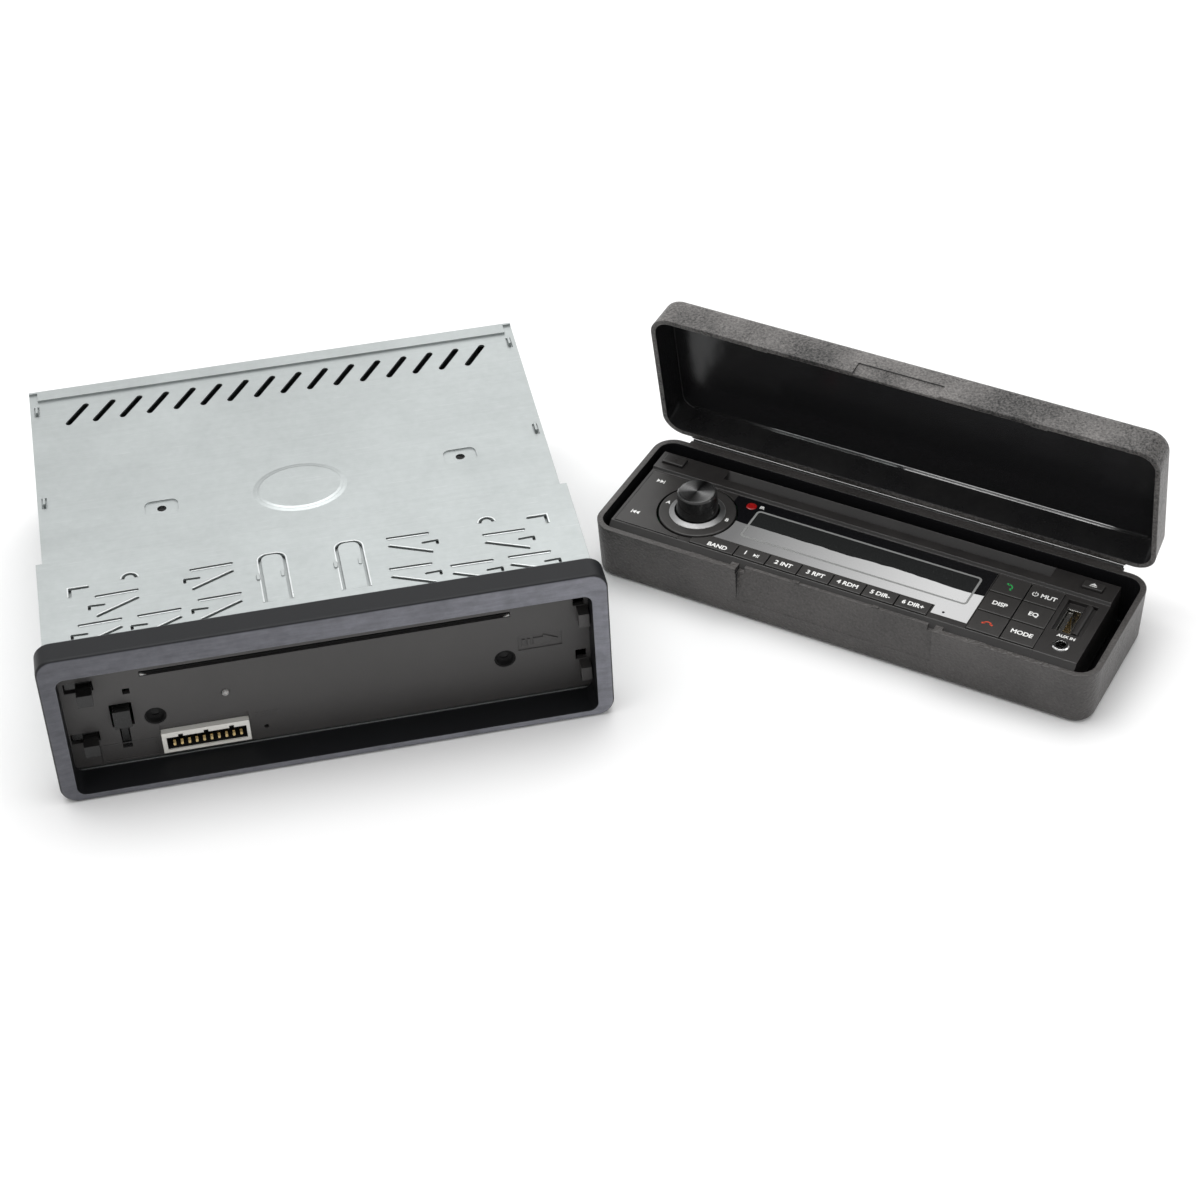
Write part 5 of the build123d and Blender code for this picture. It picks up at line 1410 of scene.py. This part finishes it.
# ================================================================ detachable face
@dataclass
class FacePanel:
    """The detachable face; sizes in millimetres in the face's own axes."""

    body: str = "face"
    field_z: float = 20.5
    knob_at: Point2 = (-62.1, -3.6)
    ink_lift: float = 0.005
    cell_low: Point2 = (-42.9, -9.0)
    cell_high: Point2 = (43.8, 6.8)
    cell_line: float = 0.8
    type_size: float = 2.75
    next_at: Point2 = (-82.1, 6.4)
    previous_at: Point2 = (-82.1, -13.2)
    letter_reach: float = 11.7
    ir_word_at: Point2 = (-42.2, 8.6)
    aux_word_at: Point2 = (80.4, -9.6)
    contact_x: Point2 = (77.1, 77.5)
    contact_rows: tuple[float, ...] = (-3.3, -0.9, 1.3, 3.7)
    chin_x: Point2 = (72.35, 72.65)
    chin_foot: Point2 = (-23.85, 17.34)
    chin_head: Point2 = (-20.45, 20.46)

    moulding: Plastic = Plastic(
        "face_finish", "face_plastic", (0.022, 0.0205, 0.020), 0.34,
        grain_scale=5200.0, grain_height=0.000012,
        edge_radius=0.00035, edge_wear_and_highlight_colour=(0.13, 0.125, 0.12), edge_share=0.45,
    )
    keys: Plastic = Plastic(
        "key_finish", "key_plastic", (0.028, 0.0265, 0.0255), 0.38, grain_scale=5200.0, grain_height=0.000012,
        edge_radius=0.00035, edge_wear_and_highlight_colour=(0.16, 0.155, 0.15), edge_share=0.5,
    )
    knob: Plastic = Plastic(
        "knob_finish", "knob_plastic", (0.014, 0.014, 0.014), 0.26,
        grain_height=0.000004, edge_share=0.15, coat=0.5,
    )
    chip: Plastic = Plastic("encoder_finish", "chip_black", (0.018, 0.018, 0.02), 0.5)
    board: CircuitBoard = CircuitBoard("face_board_finish", "board_green", (0.015, 0.11, 0.045), 0.3)
    chrome: SheetMetal = SheetMetal(
        "bright_finish", "bright_chrome", (0.72, 0.72, 0.72), 0.14, line_height=0.000001
    )
    satin: SheetMetal = SheetMetal(
        "satin_trim_finish", "bright_chrome", (0.30, 0.30, 0.30), 0.45, line_height=0.000001
    )
    nickel: SheetMetal = SheetMetal("usb_shell_finish", "socket_metal", (0.60, 0.59, 0.56), 0.24)
    gold: SheetMetal = SheetMetal("face_gold_finish", "contact_gold", (0.86, 0.60, 0.22), 0.24)
    lens: Lens = Lens("ir_finish", "ir_red", (0.33, 0.006, 0.006), 0.18)
    cell: Plastic = Plastic("cell_finish", "lcd_glass", (0.10, 0.10, 0.10), 0.3)
    outline: Plastic = Plastic(
        "cell_outline_finish", "lcd_glass", (0.30, 0.305, 0.30), 0.25,
        grain_height=0.000002, edge_share=0.0, coat=1.0,
    )

    def dress(self) -> None:
        """Puts the finishes on the CAD nodes."""
        presets = [f"preset_key_{i + 1}" for i in range(6)]
        cluster = ["call_key", "end_key", "mute_key", "display_key", "eq_key", "mode_key"]
        dress(self.moulding, "face_front", "face_back", "usb_shutter")
        singles = ["track_rocker", "band_key", "eject_key", "release_button", "knob_ring"]
        dress(self.keys, *singles, *presets, *cluster)
        dress(self.knob, "volume_knob")
        knob_axis = tuple(JOINTS["volume_turn"]["pos_m"])
        cap = SpunMetal("spun_cap_finish", "spun_metal", (0.17, 0.17, 0.17), 0.30, centre=knob_axis)
        dress(cap, "knob_cap")
        dress(self.chrome, "aux_jack")
        dress(self.satin, "ring_trim")
        dress(self.nickel, "usb_socket")
        dress(self.gold, "face_contacts")
        dress(self.board, "face_board")
        dress(self.chip, "encoder")
        dress(self.cell, "lcd_panel")
        dress(self.lens, "ir_window")
        glass = DisplayGlass(
            "display_glass_finish", "window_glass", (0.004, 0.004, 0.005), 0.07, origin=tuple(FACE_ORIGIN),
            across=tuple(CASE_ACROSS), along=tuple(CASE_ALONG),
        )
        dress(glass, "display_window")

    def top_of(self, node: str) -> tuple[Point2, float]:
        """Middle and top of a node in the face's own axes.

        Args:
            node: its name.

        Returns:
            The middle and the height of its top.
        """
        low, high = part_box(node)
        middle = FACE_PLACE.inverted() @ ((low + high) / 2)
        return (middle.x, middle.y), (high.z - FACE_ORIGIN.z) / MM

    @staticmethod
    def arrow_bar(at: Point2, size: float, way: int, count: int) -> list[Outline]:
        """A track symbol: triangles that point one way, and a bar at their tips.

        Args:
            at: its middle.
            size: its height.
            way: 1 to the right, -1 to the left.
            count: how many triangles.

        Returns:
            The outlines.
        """
        width = size * 0.72
        start = -width * count / 2
        outlines = []
        for i in range(count):
            foot = start + i * width
            points = [(foot, -size / 2), (foot + width, 0.0), (foot, size / 2)]
            outlines.append([(at[0] + way * x, at[1] + y) for x, y in points])
        tip = start + count * width
        bar = tip + size * 0.16
        points = [(tip, -size / 2), (bar, -size / 2), (bar, size / 2), (tip, size / 2)]
        outlines.append([(at[0] + way * x, at[1] + y) for x, y in points])
        return outlines

    @staticmethod
    def handset(at: Point2, size: float, turn: float) -> list[Outline]:
        """A telephone handset: a bowed grip with a pad at each end.

        Args:
            at: its middle.
            size: its length.
            turn: the angle, in degrees.

        Returns:
            The outlines.
        """
        radius = size * 0.52
        grip = arc_strip((0.0, -radius * 0.6), radius * 0.74, radius, 28.0, 152.0, 14)
        pads = []
        for side in (-1, 1):
            pad = rounded_rectangle((-size * 0.17, -size * 0.10), (size * 0.17, size * 0.10), size * 0.04, 3)
            pads.append(moved(pad, (side * size * 0.40, -size * 0.13), -side * 24.0))
        return [moved(outline, at, turn) for outline in (grip, *pads)]

    def legend(self, node: str, text: str, size: float = 0.0, shift: Point2 = (0.0, 0.0)) -> None:
        """Prints a word on a key.

        Args:
            node: the key.
            text: the word.
            size: of the type, or 0 for the usual one.
            shift: from the key's middle.
        """
        middle, top = self.top_of(node)
        at = (middle[0] + shift[0], middle[1] + shift[1])
        shape = Shape().lettering(text, at, size or self.type_size, top + self.ink_lift)
        shape.piece(f"{node}_legend", FACE_PLACE, node, WHITE_INK)

    def symbol(self, name: str, body: str, outlines: list[Outline], top: float, ink: Finish) -> None:
        """Prints a symbol.

        Args:
            name: of the piece.
            body: what it is on.
            outlines: its outlines.
            top: the surface that it is on.
            ink: its finish.
        """
        shape = Shape()
        for outline in outlines:
            shape.prism(outline, top + self.ink_lift, top + self.ink_lift + 0.03)
        shape.piece(name, FACE_PLACE, body, ink)

    def key_legends(self) -> None:
        """Words and symbols on the keys."""
        words = {
            "band_key": "BAND", "preset_key_2": "2 INT", "preset_key_3": "3 RPT", "preset_key_4": "4 RDM",
            "preset_key_5": "5 DIR-", "preset_key_6": "6 DIR+", "display_key": "DISP", "eq_key": "EQ",
            "mode_key": "MODE",
        }
        for node, word in words.items():
            shift = (0.9, 0.0) if node == "band_key" else (0.0, 0.0)
            self.legend(node, word, shift=shift)
        self.legend("preset_key_1", "1", shift=(-2.4, 0.0))
        middle, top = self.top_of("preset_key_1")
        play = self.arrow_bar((middle[0] + 1.3, middle[1]), 1.6, 1, 1)
        bar = [(x + 0.55, y) for x, y in play[-1]]
        self.symbol("play_pause_symbol", "preset_key_1", [*play, bar], top, WHITE_INK)
        self.legend("mute_key", "MUT", shift=(1.6, 0.0))
        middle, top = self.top_of("mute_key")
        centre = (middle[0] - 3.3, middle[1])
        power = [arc_strip(centre, 0.82, 1.12, 120.0, 420.0, 26)]
        power.append([(centre[0] - 0.14, centre[1]), (centre[0] + 0.14, centre[1]),
                      (centre[0] + 0.14, centre[1] + 1.3), (centre[0] - 0.14, centre[1] + 1.3)])
        self.symbol("power_symbol", "mute_key", power, top, WHITE_INK)
        middle, top = self.top_of("call_key")
        self.symbol("call_symbol", "call_key", self.handset(middle, 3.4, -55.0), top, GREEN_INK)
        middle, top = self.top_of("end_key")
        self.symbol("end_symbol", "end_key", self.handset(middle, 3.6, 0.0), top, RED_INK)
        middle, top = self.top_of("eject_key")
        triangle = [
            (middle[0] - 1.3, middle[1] - 0.1), (middle[0] + 1.3, middle[1] - 0.1),
            (middle[0], middle[1] + 1.1),
        ]
        line = [(middle[0] - 1.3, middle[1] - 0.8), (middle[0] + 1.3, middle[1] - 0.8),
                (middle[0] + 1.3, middle[1] - 0.45), (middle[0] - 1.3, middle[1] - 0.45)]
        self.symbol("eject_symbol", "eject_key", [triangle, line], top, WHITE_INK)
        middle, top = self.top_of("release_button")
        notch = [
            (middle[0] - 1.6, middle[1] - 0.9), (middle[0] + 1.8, middle[1] - 0.9),
            (middle[0] + 0.6, middle[1] + 1.0),
        ]
        self.symbol("release_symbol", "release_button", [notch], top, self.moulding)

    def plate_legends(self) -> None:
        """Symbols and letters on the rocker, the ring and the field."""
        rocker_top = self.field_z + 0.2
        symbols = self.arrow_bar(self.next_at, 1.9, 1, 2)
        self.symbol("next_symbol", "track_rocker", symbols, rocker_top, WHITE_INK)
        symbols = self.arrow_bar(self.previous_at, 1.9, -1, 2)
        self.symbol("previous_symbol", "track_rocker", symbols, rocker_top, WHITE_INK)
        letters = Shape()
        ring_top = self.field_z + 0.5 + self.ink_lift
        for letter, side in (("A", -1), ("B", 1)):
            at = (self.knob_at[0] + side * self.letter_reach, self.knob_at[1])
            letters.lettering(letter, at, 2.3, ring_top)
        letters.piece("ring_letters", FACE_PLACE, "knob_ring", WHITE_INK)
        words = Shape().lettering("IR", self.ir_word_at, 2.1, self.field_z + self.ink_lift)
        words.piece("ir_word", FACE_PLACE, self.body, WHITE_INK)
        words = Shape().lettering("AUX IN", self.aux_word_at, 1.9, self.field_z + self.ink_lift)
        words.piece("aux_word", FACE_PLACE, self.body, WHITE_INK)

    def display(self) -> None:
        """The light outline of the display cell, printed under the window's polish."""
        line = self.cell_line
        outer = rounded_rectangle(self.cell_low, self.cell_high, 1.6)
        inner_low = (self.cell_low[0] + line, self.cell_low[1] + line)
        inner_high = (self.cell_high[0] - line, self.cell_high[1] - line)
        inner = rounded_rectangle(inner_low, inner_high, 1.0)
        shape = Shape().frame(outer, inner, self.field_z - 0.02, self.field_z + 0.02)
        shape.piece("cell_outline", FACE_PLACE, self.body, self.outline)

    def usb_contacts(self) -> None:
        """Four gilt contacts on the tongue of the USB socket."""
        shape = Shape()
        left, right = self.contact_x
        for v in self.contact_rows:
            shape.prism([(left, v - 0.5), (right, v - 0.5), (right, v + 0.5), (left, v + 0.5)], 11.0, 17.6)
        shape.piece("usb_contacts", FACE_PLACE, self.body, self.gold)

    def chin_join(self) -> None:
        """The fine parting line across the chin under the socket panel."""
        shape = Shape()
        left, right = self.chin_x
        foot, head = self.chin_foot, self.chin_head
        shape.slab([(left, *foot), (right, *foot), (right, *head), (left, *head)], 0.03)
        shape.piece("chin_join", FACE_PLACE, self.body, self.knob)

    def build(self) -> None:
        """Builds and dresses the face."""
        self.dress()
        self.key_legends()
        self.plate_legends()
        self.display()
        self.usb_contacts()
        self.chin_join()


# ================================================================ studio
@dataclass(frozen=True)
class SoftBox:
    """A large soft light."""

    name: str
    at: Colour
    aim: Colour
    size: Point2
    radiance: float
    colour: Colour = (1.0, 1.0, 1.0)

    def build(self) -> None:
        """Hangs the light."""
        data = bpy.data.lights.new(self.name, "AREA")
        data.shape = "RECTANGLE"
        data.size, data.size_y = self.size
        data.energy = self.radiance * math.pi * self.size[0] * self.size[1]
        data.color = self.colour
        light = bpy.data.objects.new(self.name, data)
        bpy.context.scene.collection.objects.link(light)
        light.location = self.at
        light.rotation_mode = "QUATERNION"
        light.rotation_quaternion = (Vector(self.aim) - Vector(self.at)).to_track_quat("-Z", "Y")


@dataclass
class Studio:
    """Floor, lights and camera."""

    floor_half: float = 6.0
    floor_colour: Colour = (0.90, 0.90, 0.90)
    sky: float = 0.56
    camera_at: Colour = (-0.02538, -0.68608, 0.6137)
    azimuth: float = -9.76
    elevation: float = 40.82
    roll: float = -2.74
    lens: float = 82.3
    boxes: tuple[SoftBox, ...] = (
        SoftBox("top_softbox", (0.05, 0.34, 1.6), (0.10, 0.06, 0.0), (1.9, 1.1), 3.5),
        SoftBox("back_panel_left", (-0.95, 1.7, 1.15), (0.0, 0.0, 0.0), (1.7, 1.1), 0.62),
        SoftBox("back_panel_right", (0.85, 1.7, 1.15), (0.1, 0.0, 0.0), (1.7, 1.1), 0.98),
        SoftBox("right_panel", (1.5, -0.7, 0.7), (0.1, 0.0, 0.0), (0.8, 0.8), 1.6),
    )

    def floor(self) -> None:
        """The plain pale floor."""
        z = cad_box[0].z
        half = self.floor_half
        corners = [(-half, -half, z), (half, -half, z), (half, half, z), (-half, half, z)]
        data = bpy.data.meshes.new("studio_floor")
        data.from_pydata(corners, [], [(0, 1, 2, 3)])
        floor = bpy.data.objects.new("studio_floor", data)
        bpy.context.scene.collection.objects.link(floor)
        paint = bpy.data.materials.new("studio_floor")
        paint.use_nodes = True
        shader = paint.node_tree.nodes["Principled BSDF"]
        shader.inputs["Base Color"].default_value = (*self.floor_colour, 1.0)
        shader.inputs["Roughness"].default_value = 0.9
        shader.inputs["Specular IOR Level"].default_value = 0.1
        data.materials.append(paint)

    def world(self) -> None:
        """An even pale sky."""
        world = bpy.data.worlds.new("studio")
        world.use_nodes = True
        world.node_tree.nodes["Background"].inputs["Color"].default_value = (1.0, 1.0, 1.0, 1.0)
        world.node_tree.nodes["Background"].inputs["Strength"].default_value = self.sky
        bpy.context.scene.world = world

    def camera(self) -> None:
        """The camera, with a slight roll."""
        az, el, roll = (math.radians(a) for a in (self.azimuth, self.elevation, self.roll))
        ahead = Vector((-math.sin(az) * math.cos(el), math.cos(az) * math.cos(el), -math.sin(el)))
        right = Vector((math.cos(az), math.sin(az), 0.0))
        up = right.cross(ahead)
        right_rolled = math.cos(roll) * right + math.sin(roll) * up
        up_rolled = -math.sin(roll) * right + math.cos(roll) * up
        data = bpy.data.cameras.new("studio_camera")
        data.lens = self.lens
        data.sensor_width = 36.0
        data.clip_start, data.clip_end = 0.01, 30.0
        camera = bpy.data.objects.new("studio_camera", data)
        bpy.context.scene.collection.objects.link(camera)
        turn = Matrix((right_rolled, up_rolled, -ahead)).transposed().to_4x4()
        camera.matrix_world = Matrix.Translation(self.camera_at) @ turn
        bpy.context.scene.camera = camera

    def build(self) -> None:
        """Sets up the studio."""
        self.camera()
        self.floor()
        self.world()
        for box in self.boxes:
            box.build()
        bpy.context.scene.view_settings.view_transform = "Standard"


def main() -> None:
    """Builds the studio, then each sub-assembly."""
    logging.basicConfig(level=logging.INFO, format="%(name)s: %(message)s")
    for assembly in (Studio(), HeadUnit(), CarryingCase(), FacePanel()):
        log.info("building %s", type(assembly).__name__)
        assembly.build()


if __name__ == "__main__":
    main()
